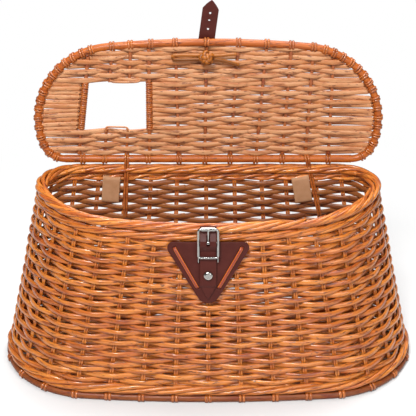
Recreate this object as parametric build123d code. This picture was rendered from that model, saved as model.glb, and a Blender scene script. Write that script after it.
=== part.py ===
from build123d import *
import math
import os

# Wicker fishing creel, lid standing open.  Millimetres, +Z up, +X to the right seen from the
# front, -Y towards the viewer.  The origin is on the floor, under the middle of the body.

# ---------------------------------------------------------------- body shell, on its centre line
base_half_width = 202.3
base_front = -89.3
base_back = 50.8
base_front_radius = 1281.0
base_side_radius = 91.6
base_corner_radius = 48.0

mouth_half_width = 164.0
mouth_front = -56.5
mouth_back = 64.1
mouth_front_radius = 393.0
mouth_side_radius = 97.0
mouth_corner_radius = 34.5

foot_hoop_radius = 3.4
foot_flat = 0.1                # how far the foot hoop is worn flat where it rests
bottom_wale_height = 10.2
wall_height = 145.0
top_wale_height = 8.0
border_height = 9.5
border_width = 12.6
border_rounding = 4.4
wall_thickness = 6.6
wale_thickness = 8.0

# ---------------------------------------------------------------- clearances
seat_clearance = 0.1           # between pieces that rest on each other
contact_gap = 0.3              # between pieces that move or hang beside each other
slot_clearance = 0.2           # round a piece that passes through another
bar_play = 0.05                # round a shaft in its bore
channel_clearance = 0.06       # woven pieces round the sticks they are woven on

# ---------------------------------------------------------------- stakes and floor
stake_radius = 1.05
stake_pair_gap = 0.1
side_stake_steps = 11          # steps from the front centre to the first stake of the back
back_stakes_x = (-109.0, -82.0, -57.0, -31.0, -2.0, 26.0, 53.0, 77.0, 107.0)
stake_foot = 1.0               # from the underside of the bottom wale to a stake's lower end
stake_head = 3.6               # how far a stake reaches into the border
floor_thickness = 5.7
floor_lift = 1.0
floor_stick_radius = 2.0
floor_stick_count = 7
floor_stick_pitch = 46.0

wrap_thickness = 0.9           # split cane wound round hoops and rods
wrap_width = 2.4
wrap_gap = 0.5

# ---------------------------------------------------------------- lid
lid_open_angle = 95.0          # from lying closed to the open stand
rod_radius = 3.9
rod_behind_border = 1.4
rod_above_border = 5.6
lid_depth = 121.3              # from the rod's axis to the hoop's
lid_half_width = 168.2
lid_hoop_radius = 3.6
lid_front_radius = 1050.0
lid_side_radius = 77.0
lid_corner_radius = 22.0
lid_weave_thickness = 6.4
lid_weave_gap = 1.6            # from the hoop to the weave, for the wraps
lid_stake_radius = 1.7
lid_stakes_x = (               # at the back rod, at the hoop
    (-29.2, -31.9),
    (-3.4, -1.5),
    (21.9, 29.2),
    (47.5, 56.9),
    (74.0, 80.7),
    (97.2, 102.2),
    (120.2, 122.1),
)
window_stakes_x = ((-104.0, -93.0), (-82.0, -75.0))    # broken off by the window
post_lines_x = ((-130.0, -116.0), (-58.5, -57.5))      # left and right of the window
post_radius = 2.0
post_wrap_radius = 3.3
window_near = 31.5             # from the rod's axis to the window
window_far = 81.0
lid_wraps_on_rod = (-125.6, -103.7, -60.1, -29.2, -3.4, 21.9, 47.5, 74.0, 120.2)
lid_wraps_on_hoop = (-93.1, -75.3, -55.4, -31.9, -1.5, 29.2, 56.9, 80.7, 102.2)
end_wrap_thickness = 1.0
end_wrap_start = 0.14          # share of the side arc that stays bare at the front

# ---------------------------------------------------------------- cane hinges
hinge_cane_radius = 1.1
hinge_cane_gap = 0.3
hinge_tail = 61.0              # from the rod's axis down to the cane's ends
hinge_stand_off = 0.25
hinge_tuck = 3.2               # from the wall's centre plane to the end of a cane
hinge_bend = 6.0
hinges = {"left": (-81.6, 2.7), "right": (99.3, -13.3)}   # place on the rod, lean in degrees
notch_room = 0.7

# ---------------------------------------------------------------- leather on the body
leather_thickness = 1.6
shield_thickness = 2.3
shield_top = 162.6             # along the wall, from the foot hoop's centre line
shield_half_width = 42.8       # to the corners before they are rounded
shield_point = 91.1
shield_corner_radius = 6.0
shield_tip_radius = 11.2

tab_width = 15.4
tab_tip = 106.2
tab_shoulder = 120.8
tab_bend = 145.3               # the line about which the buckle lifts
bend_room = 1.5
rivet_place = 131.0
rivet_head_radius = 4.5
rivet_head_height = 2.6
rivet_head_rounding = 2.3
rivet_post_radius = 1.1
washer_radius = 3.2
washer_thickness = 0.6
keeper_wire_radius = 0.7
keeper_below_bend = 2.6
keeper_half_width = 9.0
keeper_tip = 149.0             # along the wall, where its bent ends stop
keeper_corner_radius = 1.5

# ---------------------------------------------------------------- buckle
buckle_wire_radius = 1.2
buckle_half_width = 9.1        # on the wire's centre line
buckle_low = 149.3
buckle_high = 177.2
buckle_corner_radius = 2.4
centre_bar_place = 163.6
centre_bar_radius = 1.1
centre_bar_drop = 1.1          # the bar lies this much nearer the wall than the frame
roller_wall = 0.65
tongue_radius = 0.75
tongue_eye_wall = 0.7
tongue_eye_width = 2.2
tongue_overhang = 2.4
tongue_slot_low = 160.7
tongue_slot_high = 171.0
hump_low = 154.5               # where the strap starts to rise over the bar
hump_high = 173.0
hump_crest = 2.2               # half the length of the crest
strap_upper_end = 178.9

# ---------------------------------------------------------------- laces and back straps
lace_width = 2.6
lace_thickness = 1.8
lace_high = (31.4, 156.7)      # across, and along the wall
lace_low = (9.8, 117.2)

back_strap_width = 17.6
back_strap_thickness = 2.0
back_strap_depth = 15.0        # from the wall's centre plane to the loop's outer stretch
back_strap_low = 139.5
back_strap_high = 166.5
back_strap_rounding = 2.4
back_straps = {"left": (-98.2, 5.0), "right": (94.6, -10.0)}   # middle, lean in degrees
strap_rivet_radius = 3.0
strap_rivet_height = 1.2
strap_rivet_rounding = 0.8
strap_rivet_spread = 9.0

# ---------------------------------------------------------------- lid strap
strap_width = 15.8
strap_thickness = 2.0
strap_base = 92.0              # from the rod's axis, along the lid
strap_tip = 162.1
strap_bend = 138.6
strap_bend_room = 1.2
strap_lean = 7.6
strap_offset = -1.25           # across, at the distance below
strap_offset_place = 125.0
strap_shoulder_length = 9.0
strap_holes = (133.0, 141.6, 149.0)
strap_hole_radius = 1.1
knot_place = (-1.6, 108.2)
knot_radius = 6.4
knot_length = 13.0
knot_rounding = 2.0
thong_radius = 1.6
thong_lift = 0.9               # from the knot's top to the thongs inside it
thong_spread = 1.75
thong_bight = -34.4
thong_ends = ((27.2, 111.1), (30.1, 101.2))
stitch_half_width = 4.2
stitch_tuck = 0.8
stitch_bend = 2.0

# ---------------------------------------------------------------- levels worked out from these
hoop_z = foot_hoop_radius - foot_flat
bottom_wale_z = hoop_z + foot_hoop_radius
wall_z = bottom_wale_z + bottom_wale_height
top_wale_z = wall_z + wall_height
border_z = top_wale_z + top_wale_height
border_top = border_z + border_height
mouth_z = border_z + border_height / 2
rod_y = mouth_back + rod_behind_border
rod_z = border_top + rod_above_border
front_lean = math.atan2(mouth_front - base_front, mouth_z - hoop_z)
back_lean = math.atan2(mouth_back - base_back, mouth_z - hoop_z)

# out from the wall's centre plane, square to the front wall
shield_inner = wale_thickness / 2 + contact_gap
shield_outer = shield_inner + shield_thickness
ply_low = shield_outer * math.cos(front_lean) + seat_clearance
ply_mid = ply_low + leather_thickness
ply_top = ply_mid + leather_thickness
roller_radius = buckle_wire_radius + bar_play + roller_wall
frame_height = ply_top + contact_gap + roller_radius
centre_bar_height = frame_height - centre_bar_drop
hump_inner = centre_bar_height + centre_bar_radius + contact_gap
keeper_place = tab_bend - keeper_below_bend
keeper_inside = -wall_thickness / 2 - contact_gap - keeper_wire_radius
keeper_outside = shield_outer * math.cos(front_lean) + contact_gap + keeper_wire_radius
tongue_eye_radius = centre_bar_radius + bar_play + tongue_eye_wall

hinge_reach = rod_radius + contact_gap + hinge_cane_radius
lid_weave_edge = lid_hoop_radius + lid_weave_gap
strap_low = lid_hoop_radius + wrap_thickness + seat_clearance
knot_z = -lid_weave_thickness / 2 - contact_gap - knot_radius
thong_z = knot_z + knot_radius - thong_lift - thong_radius


# ---------------------------------------------------------------- outlines
class Outline:
    """A D shape: a flat front arc, two side arcs, two back corners and a straight back."""

    def __init__(self, front, back, half_width, front_radius, side_radius, corner_radius):
        self.radii = (front_radius, side_radius, corner_radius)
        first = (0.0, front + front_radius)
        third = (half_width - corner_radius, back - corner_radius)
        second = meeting_point(first, front_radius - side_radius, third, side_radius - corner_radius)
        if second is None or third[1] > second[1]:
            # the widest point lies on the side arc
            reach = half_width - side_radius
            rise = math.sqrt((front_radius - side_radius) ** 2 - reach**2)
            second = (reach, first[1] - rise)
            drop = back - corner_radius - second[1]
            run = math.sqrt((side_radius - corner_radius) ** 2 - drop**2)
            third = (second[0] + run, back - corner_radius)
        self.centres = (first, second, third)
        self.back = back
        self.turns = (
            0.0,
            math.atan2(second[0], first[1] - second[1]),
            math.pi / 2 + math.atan2(third[1] - second[1], third[0] - second[0]),
            math.pi,
        )

    def lengths(self):
        arcs = [self.radii[i] * (self.turns[i + 1] - self.turns[i]) for i in range(3)]
        return arcs + [self.centres[2][0]]

    def on_arc(self, index, turn, offset=0.0):
        radius = self.radii[index] + offset
        x, y = self.centres[index]
        return (x + radius * math.sin(turn), y - radius * math.cos(turn))

    def station(self, index, share):
        """A point of the right half and its tangent, given by its stretch and a share of it."""
        if index == 3:
            return (self.centres[2][0] * (1 - share), self.back), (-1.0, 0.0)
        turn = self.turns[index] + share * (self.turns[index + 1] - self.turns[index])
        return self.on_arc(index, turn), (math.cos(turn), math.sin(turn))

    def front_station(self, x):
        """The point at x on the front or side arc, and its tangent."""
        index = 0 if abs(x) < self.radii[0] * math.sin(self.turns[1]) else 1
        turn = math.asin((abs(x) - self.centres[index][0]) / self.radii[index])
        side = 1 if x >= 0 else -1
        return (x, self.on_arc(index, turn)[1]), (math.cos(turn), side * math.sin(turn))

    def arc(self, index, side, z=0.0, offset=0.0, start=0.0):
        """One arc, from its back end to its front end on the right and the other way on the left."""
        low, high = self.turns[index], self.turns[index + 1]
        low = -high if index == 0 else low + start * (high - low)
        points = [self.on_arc(index, high + (low - high) * share, offset) for share in (0, 0.5, 1)]
        if side < 0:
            points.reverse()
        return ThreePointArc(*[(side * x, y, z) for x, y in points]).edge()

    def arcs(self, z, offset=0.0):
        """The curved part, from the right end of the straight back round to its left end."""
        order = ((2, 1), (1, 1), (0, 1), (1, -1), (2, -1))
        return [self.arc(index, side, z, offset) for index, side in order]

    def wire(self, z, offset=0.0):
        end_x, end_y = self.centres[2][0], self.back + offset
        return Wire(self.arcs(z, offset) + [Line((-end_x, end_y, z), (end_x, end_y, z)).edge()])

    def plate(self, z, height, offset=0.0):
        return extrude(Face(self.wire(z, offset)), height, dir=(0, 0, 1))


def meeting_point(first, first_reach, third, third_reach):
    """The point at the two given distances from two centres, on their front side."""
    dx, dy = third[0] - first[0], third[1] - first[1]
    gap = math.hypot(dx, dy)
    along = (first_reach**2 - third_reach**2 + gap**2) / (2 * gap)
    square = first_reach**2 - along**2
    if square < 0:
        return None
    side = math.sqrt(square)
    x = first[0] + (along * dx - side * dy) / gap
    y = first[1] + (along * dy + side * dx) / gap
    other = (first[0] + (along * dx + side * dy) / gap, first[1] + (along * dy - side * dx) / gap)
    return min((x, y), other, key=lambda point: point[0])


def body_outline(z):
    share = (z - hoop_z) / (mouth_z - hoop_z)

    def between(low, high):
        return low + share * (high - low)

    return Outline(
        between(base_front, mouth_front),
        between(base_back, mouth_back),
        between(base_half_width, mouth_half_width),
        between(base_front_radius, mouth_front_radius),
        between(base_side_radius, mouth_side_radius),
        between(base_corner_radius, mouth_corner_radius),
    )


def lid_outline():
    radii = (lid_front_radius, lid_side_radius, lid_corner_radius)
    return Outline(-lid_depth, 0.0, lid_half_width, *radii)


# ---------------------------------------------------------------- shapes used again and again
def shell(low, high, inner, outer):
    """A ring of wall between two levels, resting on what is below it, with ruled faces."""
    sides = []
    for offset in (outer, inner):
        rims = [body_outline(z).wire(z, offset) for z in (low + seat_clearance, high)]
        sides.append(Solid.make_loft(rims, ruled=True))
    return sides[0] - sides[1]


def tube(path, radius):
    """A round rod along a path of lines and arcs."""
    section = Plane(origin=path @ 0, z_dir=path % 0) * Circle(radius)
    return sweep(section, path=path)


def rod(start, end, radius):
    axis = Vector(*end) - Vector(*start)
    return Solid.make_cylinder(radius, axis.length, Plane(origin=Vector(*start), z_dir=axis))


def box(low, high):
    size = [b - a for a, b in zip(low, high)]
    middle = [(a + b) / 2 for a, b in zip(low, high)]
    return Pos(*middle) * Box(*size)


def solids_of(shapes):
    """All the solids of a shape or of a list of shapes."""
    if isinstance(shapes, (list, tuple)):
        return [solid for shape in shapes for solid in solids_of(shape)]
    return list(shapes.solids())


def cut(shape, tools):
    return shape - solids_of(tools)


def across(points, width):
    """A shape drawn from the side (along, out) and as wide as given in X."""
    face = make_face(Polyline(*points, close=True))
    return extrude(Plane.YZ * face, width / 2, dir=(1, 0, 0), both=True)


def band(points, thickness, width, rounding):
    """A flat strap bent into one closed loop, drawn from the side and as wide as given in X."""
    middle = Face(Wire(FilletPolyline(*points, radius=rounding, close=True).edges()))
    ring = offset(middle, thickness / 2) - offset(middle, -thickness / 2)
    return extrude(Plane.YZ * ring, width / 2, dir=(1, 0, 0), both=True)


def wrap_rings(centre, direction, radius):
    """Two turns of split cane round a rod that passes the centre in the given direction."""
    rings = []
    axis = Vector(*direction)
    for side in (-1, 1):
        middle = Vector(*centre) + axis * (side * (wrap_width + wrap_gap) / 2)
        plane = Plane(origin=middle - axis * (wrap_width / 2), z_dir=axis)
        outer = Solid.make_cylinder(radius + wrap_thickness, wrap_width, plane)
        rings.append(outer - Solid.make_cylinder(radius + bar_play, wrap_width, plane))
    return rings


# ---------------------------------------------------------------- placing
def on_front(shape):
    """Places a piece drawn flat (across, up the wall, out from it) on the front of the body."""
    return Pos(0, base_front, hoop_z) * Rot(90 - math.degrees(front_lean), 0, 0) * shape


def on_back(shape, x, lean):
    """Places a piece drawn upright on the back wall, half way between the loop's two slots."""
    z = (back_strap_low + back_strap_high) / 2
    y = base_back + (z - hoop_z) * math.tan(back_lean)
    return Pos(x, y, z) * Rot(-math.degrees(back_lean), 0, 0) * Rot(0, lean, 0) * shape


def on_lid(shape):
    """Places a piece drawn with the lid closed, round the rod's axis, on the open lid."""
    return Pos(0, rod_y, rod_z) * Rot(-lid_open_angle, 0, 0) * shape


# ---------------------------------------------------------------- stakes of the body
def stake_stations():
    """Stretch, share and side of every stake pair: even round the front, then the back's own."""
    lengths = body_outline(mouth_z).lengths()
    reach = sum(lengths) - min(abs(back_stakes_x[0]), abs(back_stakes_x[-1]))
    stations = []
    for step in range(side_stake_steps):
        left_over = reach * step / side_stake_steps
        index = 0
        while left_over > lengths[index]:
            left_over -= lengths[index]
            index += 1
        for side in (1, -1) if step else (1,):
            stations.append((index, left_over / lengths[index], side))
    for x in back_stakes_x:
        stations.append((3, 1 - abs(x) / lengths[3], 1 if x >= 0 else -1))
    return stations


def stakes(radius, low, high):
    """Both rods of every pair, from one level to another."""
    rods = []
    low_outline, high_outline = body_outline(wall_z), body_outline(top_wale_z)
    for index, share, side in stake_stations():
        for shift in (-1, 1):
            ends = []
            for outline, z in ((low_outline, wall_z), (high_outline, top_wale_z)):
                (x, y), (along_x, along_y) = outline.station(index, share)
                step = shift * (stake_radius + stake_pair_gap / 2)
                ends.append(Vector(side * (x + step * along_x), y + step * along_y, z))
            slope = (ends[1] - ends[0]) * (1 / wall_height)
            start = ends[0] + slope * (low - wall_z)
            rods.append(rod(start, ends[0] + slope * (high - wall_z), radius))
    return rods


def stake_channels():
    low = bottom_wale_z + stake_foot - seat_clearance
    high = border_z + stake_head + seat_clearance
    return stakes(stake_radius + channel_clearance, low, high)


# ---------------------------------------------------------------- foot and floor
def under_ground():
    size = 2 * base_half_width
    return box((-size, -size, -size), (size, size, 0))


def make_foot_hoop():
    return tube(body_outline(hoop_z).wire(hoop_z), foot_hoop_radius) - under_ground()


def floor_plate(z, height, play=0.0):
    return body_outline(hoop_z).plate(z, height, -foot_hoop_radius - seat_clearance + play)


def floor_stick_rods(radius, reach):
    z = floor_lift + floor_thickness / 2
    rods = []
    for number in range(floor_stick_count):
        x = (number - (floor_stick_count - 1) / 2) * floor_stick_pitch
        rods.append(rod((x, base_front - reach, z), (x, base_back + reach, z), radius))
    return rods


def make_floor():
    channels = floor_stick_rods(floor_stick_radius + channel_clearance, foot_hoop_radius)
    return cut(floor_plate(floor_lift, floor_thickness), channels)


def make_floor_sticks():
    room = floor_plate(0, bottom_wale_z, -seat_clearance)
    return [stick & room for stick in floor_stick_rods(floor_stick_radius, 0)]


def make_foot_wraps():
    """The outer side of each turn: the floor and the wale lie against the rest of the hoop."""
    outline = body_outline(hoop_z)
    high = bottom_wale_z - seat_clearance
    outside = outline.plate(0, high, 2 * foot_hoop_radius) - outline.plate(0, high)
    rings = []
    for index, share, side in stake_stations():
        (x, y), (along_x, along_y) = outline.station(index, share)
        centre, along = (side * x, y, hoop_z), (side * along_x, along_y, 0)
        rings += wrap_rings(centre, along, foot_hoop_radius)
    return [ring & outside for ring in rings]


# ---------------------------------------------------------------- wall
def make_border():
    outline = body_outline(mouth_z)
    low, height = border_z + seat_clearance, border_height - seat_clearance
    roll = outline.plate(low, height, border_width / 2)
    roll = roll - outline.plate(low, height, -border_width / 2)
    return fillet(roll.edges(), border_rounding)


# ---------------------------------------------------------------- cane hinges
def hinge_path(lean):
    """One cane: up inside the body, over the rod, and down the outside; both ends tucked in."""
    side = wall_thickness / 2 + hinge_cane_radius + hinge_stand_off
    knee = rod_z - top_wale_z + hinge_bend

    def wall_y(drop):
        return mouth_back - rod_y - (drop - (rod_z - mouth_z)) * math.tan(back_lean)

    border_foot = rod_z - border_z
    top = hinge_reach / math.cos(math.radians(lean))
    tail = hinge_tail - hinge_bend
    points = [
        (wall_y(hinge_tail) - hinge_tuck, -hinge_tail),
        (wall_y(tail) - side, -tail),
        (wall_y(knee) - side, -knee),
        (-hinge_reach, -border_foot),
        (-hinge_reach, top),
        (hinge_reach, top),
        (hinge_reach, -border_foot),
        (wall_y(knee) + side, -knee),
        (wall_y(tail) + side, -tail),
        (wall_y(hinge_tail) + hinge_tuck, -hinge_tail),
    ]
    over_rod = hinge_reach - bar_play
    slight = hinge_bend / 2
    bends = [slight, hinge_bend, hinge_bend, over_rod, over_rod, hinge_bend, hinge_bend, slight]
    return FilletPolyline(*[(0, y, z) for y, z in points], radius=bends)


def hinge_cane(name, shift, radius):
    x, lean = hinges[name]
    cane = tube(Wire(hinge_path(lean).edges()), radius)
    return Pos(x + shift, rod_y, rod_z) * Rot(0, lean, 0) * cane


def hinge_canes(name):
    shift = hinge_cane_radius + hinge_cane_gap / 2
    return [hinge_cane(name, side * shift, hinge_cane_radius) for side in (-1, 1)]


def hinge_slot(name):
    """Room for both canes and what lies between them."""
    shift = hinge_cane_radius + hinge_cane_gap / 2
    return [hinge_cane(name, side * shift, hinge_cane_radius + slot_clearance) for side in (-1, 0, 1)]


# ---------------------------------------------------------------- back straps
def back_strap_band(name, clearance=0.0):
    inside = -wall_thickness / 2 - contact_gap - back_strap_thickness / 2
    half_height = (back_strap_high - back_strap_low) / 2
    points = [
        (inside, -half_height),
        (back_strap_depth, -half_height),
        (back_strap_depth, half_height),
        (inside, half_height),
    ]
    thickness = back_strap_thickness + 2 * clearance
    width = back_strap_width + 2 * clearance
    return on_back(band(points, thickness, width, back_strap_rounding), *back_straps[name])


def strap_rivet_parts(radius, start, length):
    """One rod at each rivet of a back strap, drawn on the loop's outer stretch."""
    parts = []
    for side in (-1, 1):
        z = side * strap_rivet_spread / 2
        parts.append(rod((0, start, z), (0, start + length, z), radius))
    return parts


def make_back_strap(name):
    """The loop, lapped and riveted where its ends meet outside."""
    half_height = (back_strap_high - back_strap_low) / 2 - back_strap_rounding
    low = back_strap_depth + back_strap_thickness / 2
    lap = box(
        (-back_strap_width / 2, low, -half_height),
        (back_strap_width / 2, low + back_strap_thickness, half_height),
    )
    start = back_strap_depth - back_strap_thickness
    holes = strap_rivet_parts(rivet_post_radius + bar_play, start, 3 * back_strap_thickness)
    strap = back_strap_band(name) + on_back(lap, *back_straps[name])
    return cut(strap, [on_back(hole, *back_straps[name]) for hole in holes])


def make_back_strap_rivets():
    """Post, domed cap outside and small clenched head inside, for both straps."""
    inside = back_strap_depth - back_strap_thickness / 2
    outside = inside + 2 * back_strap_thickness
    posts = strap_rivet_parts(rivet_post_radius, inside, 2 * back_strap_thickness)
    caps = strap_rivet_parts(strap_rivet_radius, outside, strap_rivet_height)
    tails = strap_rivet_parts(strap_rivet_radius, inside - strap_rivet_height, strap_rivet_height)
    rivets = []
    for post, cap, tail in zip(posts, caps, tails):
        cap = fillet(cap.edges().sort_by(Axis.Y)[-1], strap_rivet_rounding)
        tail = fillet(tail.edges().sort_by(Axis.Y)[0], strap_rivet_rounding)
        rivets.append(post + cap + tail)
    return [on_back(rivet, *place) for place in back_straps.values() for rivet in rivets]


# ---------------------------------------------------------------- shield and laces
def front_sag(place):
    """How far the front wall has curved back at a place on it, square to the wall."""
    x, along = place
    radius = body_outline(hoop_z + along * math.cos(front_lean)).radii[0]
    return (radius - math.sqrt(radius**2 - x**2)) * math.cos(front_lean)


def lace_ring(side, clearance=0.0):
    """A flat thong through two holes of the shield and back along the inside of the wall."""
    across_run, along_run = side * (lace_high[0] - lace_low[0]), lace_high[1] - lace_low[1]
    run = math.hypot(across_run, along_run)
    outside = shield_outer * math.cos(front_lean) + contact_gap + lace_thickness / 2
    inside = -wall_thickness / 2 - contact_gap - lace_thickness / 2
    points = [
        (-run / 2, inside),
        (run / 2, inside),
        (run / 2, outside),
        (-run / 2, outside),
    ]
    thickness, width = lace_thickness + 2 * clearance, lace_width + 2 * clearance
    ring = band(points, thickness, width, lace_thickness)
    high, low = front_sag(lace_high), front_sag(lace_low)
    middle = Pos(
        side * (lace_high[0] + lace_low[0]) / 2,
        (lace_high[1] + lace_low[1]) / 2,
        -(high + low) / 2,
    )
    turn = Rot(0, 0, -math.degrees(math.atan2(across_run, along_run)))
    tip = Rot(-math.degrees(math.atan2(high - low, run)), 0, 0)
    return on_front(middle * turn * tip * ring)


def shield_outline():
    corners = [(-shield_half_width, shield_top), (0, shield_point), (shield_half_width, shield_top)]
    face = make_face(Polyline(*corners, close=True))
    face = fillet(face.vertices().sort_by(Axis.Y)[0], shield_tip_radius)
    return fillet(face.vertices().sort_by(Axis.Y)[-2:], shield_corner_radius)


def keeper_holes():
    """Room for the keeper's two legs, through wall and shield."""
    holes = []
    for side in (-1, 1):
        place = (side * keeper_half_width, keeper_place)
        leg = rod((*place, keeper_inside), (*place, ply_top), keeper_wire_radius + slot_clearance)
        holes.append(on_front(leg))
    return holes


def make_shield():
    """A leather triangle that follows the curve of the wall over the top wale."""
    low = hoop_z + shield_point * math.cos(front_lean)
    leather = shell(low, border_z, shield_inner, shield_outer)
    prism = Pos(0, 0, -border_width) * extrude(shield_outline(), 2 * border_width)
    holes = [lace_ring(side, slot_clearance) for side in (-1, 1)]
    holes += keeper_holes()
    holes.append(on_front(rivet_post(rivet_post_radius + bar_play)))
    return cut(leather & on_front(prism), holes)


# ---------------------------------------------------------------- lower strap, rivet, keeper
def washer_low():
    return shield_inner * math.cos(front_lean) - seat_clearance - washer_thickness


def rivet_post(radius):
    low = washer_low() - seat_clearance
    return rod((0, rivet_place, low), (0, rivet_place, ply_top + seat_clearance), radius)


def pointed_strap(width, shoulder, tip, end):
    """A strap seen flat: square at one end, and drawn to a rounded point at the other."""
    half = width / 2
    side = (shoulder + tip) / 2 + (shoulder - tip) * 0.1
    right = ThreePointArc((half, shoulder), (half * 0.68, side), (0, tip))
    left = ThreePointArc((0, tip), (-half * 0.68, side), (-half, shoulder))
    edges = [Line((half, end), (half, shoulder)), right, left]
    edges += [Line((-half, shoulder), (-half, end)), Line((-half, end), (half, end))]
    return make_face(edges)


def make_tab():
    """Two plies held by the rivet; the outer one ends in a point that lies on the shield."""
    end = tab_bend - bend_room
    side = across(
        [
            (tab_tip, ply_low),
            (end, ply_low),
            (end, ply_top),
            (tab_shoulder, ply_top),
            (tab_shoulder - 2 * leather_thickness, ply_mid),
            (tab_tip, ply_mid),
        ],
        tab_width,
    )
    plan = extrude(pointed_strap(tab_width, tab_shoulder, tab_tip, end), ply_top)
    return on_front(cut(side & plan, [rivet_post(rivet_post_radius + bar_play)]))


def make_rivet():
    low = ply_top + seat_clearance
    top = low + rivet_head_height
    head = rod((0, rivet_place, low), (0, rivet_place, top), rivet_head_radius)
    head = fillet(head.edges().sort_by(Axis.Z)[-1], rivet_head_rounding)
    return on_front(head + rivet_post(rivet_post_radius))


def make_washer():
    low, high = washer_low(), washer_low() + washer_thickness
    disc = rod((0, rivet_place, low), (0, rivet_place, high), washer_radius)
    return on_front(disc - rivet_post(rivet_post_radius + bar_play))


def make_keeper():
    """A wire staple from inside the wall, its ends bent up on the shield under the buckle."""
    points = [
        (-keeper_half_width, keeper_tip, keeper_outside),
        (-keeper_half_width, keeper_place, keeper_outside),
        (-keeper_half_width, keeper_place, keeper_inside),
        (keeper_half_width, keeper_place, keeper_inside),
        (keeper_half_width, keeper_place, keeper_outside),
        (keeper_half_width, keeper_tip, keeper_outside),
    ]
    path = Wire(FilletPolyline(*points, radius=keeper_corner_radius).edges())
    return on_front(tube(path, keeper_wire_radius))


# ---------------------------------------------------------------- buckle
def make_tab_upper():
    """The strap folded round the buckle's centre bar, with a slot for the tongue."""
    low_crest, high_crest = centre_bar_place - hump_crest, centre_bar_place + hump_crest
    hump_outer = hump_inner + leather_thickness
    start = tab_bend + bend_room
    body = across(
        [
            (start, ply_low),
            (strap_upper_end, ply_low),
            (strap_upper_end, ply_top),
            (hump_high, ply_top),
            (high_crest, hump_outer),
            (low_crest, hump_outer),
            (hump_low, ply_top),
            (start, ply_top),
        ],
        tab_width,
    )
    hollow = across(
        [
            (hump_low + leather_thickness, ply_mid),
            (low_crest + leather_thickness / 2, hump_inner),
            (high_crest - leather_thickness / 2, hump_inner),
            (hump_high - leather_thickness, ply_mid),
        ],
        2 * tab_width,
    )
    half = tongue_eye_width / 2 + contact_gap
    top = hump_outer + leather_thickness
    slot = box((-half, tongue_slot_low, ply_mid), (half, tongue_slot_high, top))
    return on_front(cut(body, [hollow, slot]))


def make_buckle_frame():
    corners = [
        (-buckle_half_width, buckle_low, frame_height),
        (buckle_half_width, buckle_low, frame_height),
        (buckle_half_width, buckle_high, frame_height),
        (-buckle_half_width, buckle_high, frame_height),
    ]
    path = Wire(FilletPolyline(*corners, radius=buckle_corner_radius, close=True).edges())
    start = (-buckle_half_width, centre_bar_place, centre_bar_height)
    end = (buckle_half_width, centre_bar_place, centre_bar_height)
    return on_front(tube(path, buckle_wire_radius) + rod(start, end, centre_bar_radius))


def make_roller():
    half = buckle_half_width - buckle_corner_radius - contact_gap
    start, end = (-half, buckle_high, frame_height), (half, buckle_high, frame_height)
    bore = buckle_wire_radius + bar_play
    return on_front(rod(start, end, roller_radius) - rod(start, end, bore))


def make_tongue():
    """An eye round the centre bar and a rod that rests on the roller."""
    half = tongue_eye_width / 2
    bar = Vector(0, centre_bar_place, centre_bar_height)
    start, end = bar - Vector(half, 0, 0), bar + Vector(half, 0, 0)
    run, rise = buckle_high - centre_bar_place, centre_bar_drop
    lift = roller_radius + contact_gap + tongue_radius
    slope = math.atan2(rise, run) + math.asin(lift / math.hypot(run, rise))
    along = Vector(0, math.cos(slope), math.sin(slope))
    length = math.sqrt(run**2 + rise**2 - lift**2) + tongue_overhang
    pin = rod(bar, bar + along * length, tongue_radius)
    pin = fillet(pin.edges().sort_by(Axis.Y)[-1], tongue_radius / 2)
    eye = rod(start, end, tongue_eye_radius) + pin
    return on_front(eye - rod(start, end, centre_bar_radius + bar_play))


# ---------------------------------------------------------------- lid, drawn closed round the rod
def lid_point(x, distance, z=0.0):
    return Vector(x, -distance, z)


def make_lid_rod():
    end = lid_outline().centres[2][0]
    return rod((-end, 0, 0), (end, 0, 0), rod_radius)


def make_lid_hoop():
    return tube(Wire(lid_outline().arcs(0.0)), lid_hoop_radius)


def rod_reach(x):
    """From the rod's axis to where a stick may start: past the wraps, or past a cane hinge."""
    for place, _ in hinges.values():
        if abs(x - place) < 2 * hinge_cane_radius + hinge_cane_gap + lid_stake_radius:
            return hinge_reach + hinge_cane_radius + contact_gap
    return rod_radius + wrap_thickness + seat_clearance


def short_of(along, tangent, reach, radius):
    """How far before a rod's axis a slanting stick has to end to stay clear of its wraps."""
    slide = abs(along.X * tangent[0] + along.Y * tangent[1])
    return (reach + radius * slide) / math.sqrt(1 - slide**2)


def lid_stick(column, radius, spare):
    """A stick of the lid, from the rod's wraps to the hoop's; spare makes it longer."""
    (x, y), tangent = lid_outline().front_station(column[1])
    start, end = Vector(column[0], 0, 0), Vector(x, y, 0)
    along = (end - start).normalized()
    near = short_of(along, (1, 0), rod_reach(column[0]), radius) - spare
    hoop_reach = lid_hoop_radius + max(wrap_thickness, end_wrap_thickness) + seat_clearance
    far = short_of(along, tangent, hoop_reach, radius) - spare
    return rod(start + along * near, end - along * far, radius)


def lid_sticks(columns, radius, spare=0.0):
    return [lid_stick(column, radius, spare) for column in columns]


def post_x(column, distance):
    """Where a window post stands at a distance from the rod's axis."""
    near, far = column
    return near - (far - near) * distance / lid_outline().front_station(far)[0][1]


def window_hole():
    """The window with the room for its wrapped posts, through the weave."""
    room = post_wrap_radius + seat_clearance
    left, right = post_lines_x
    corners = [
        (post_x(left, window_near) - room, -window_near),
        (post_x(right, window_near) + room, -window_near),
        (post_x(right, window_far) + room, -window_far),
        (post_x(left, window_far) - room, -window_far),
    ]
    prism = extrude(make_face(Polyline(*corners, close=True)), 2 * lid_weave_thickness)
    return Pos(0, 0, -lid_weave_thickness) * prism


def make_lid_stakes():
    broken = [cut(stick, [window_hole()]) for stick in lid_sticks(window_stakes_x, lid_stake_radius)]
    return lid_sticks(lid_stakes_x, lid_stake_radius) + broken


def make_window_posts():
    return lid_sticks(post_lines_x, post_radius)


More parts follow.
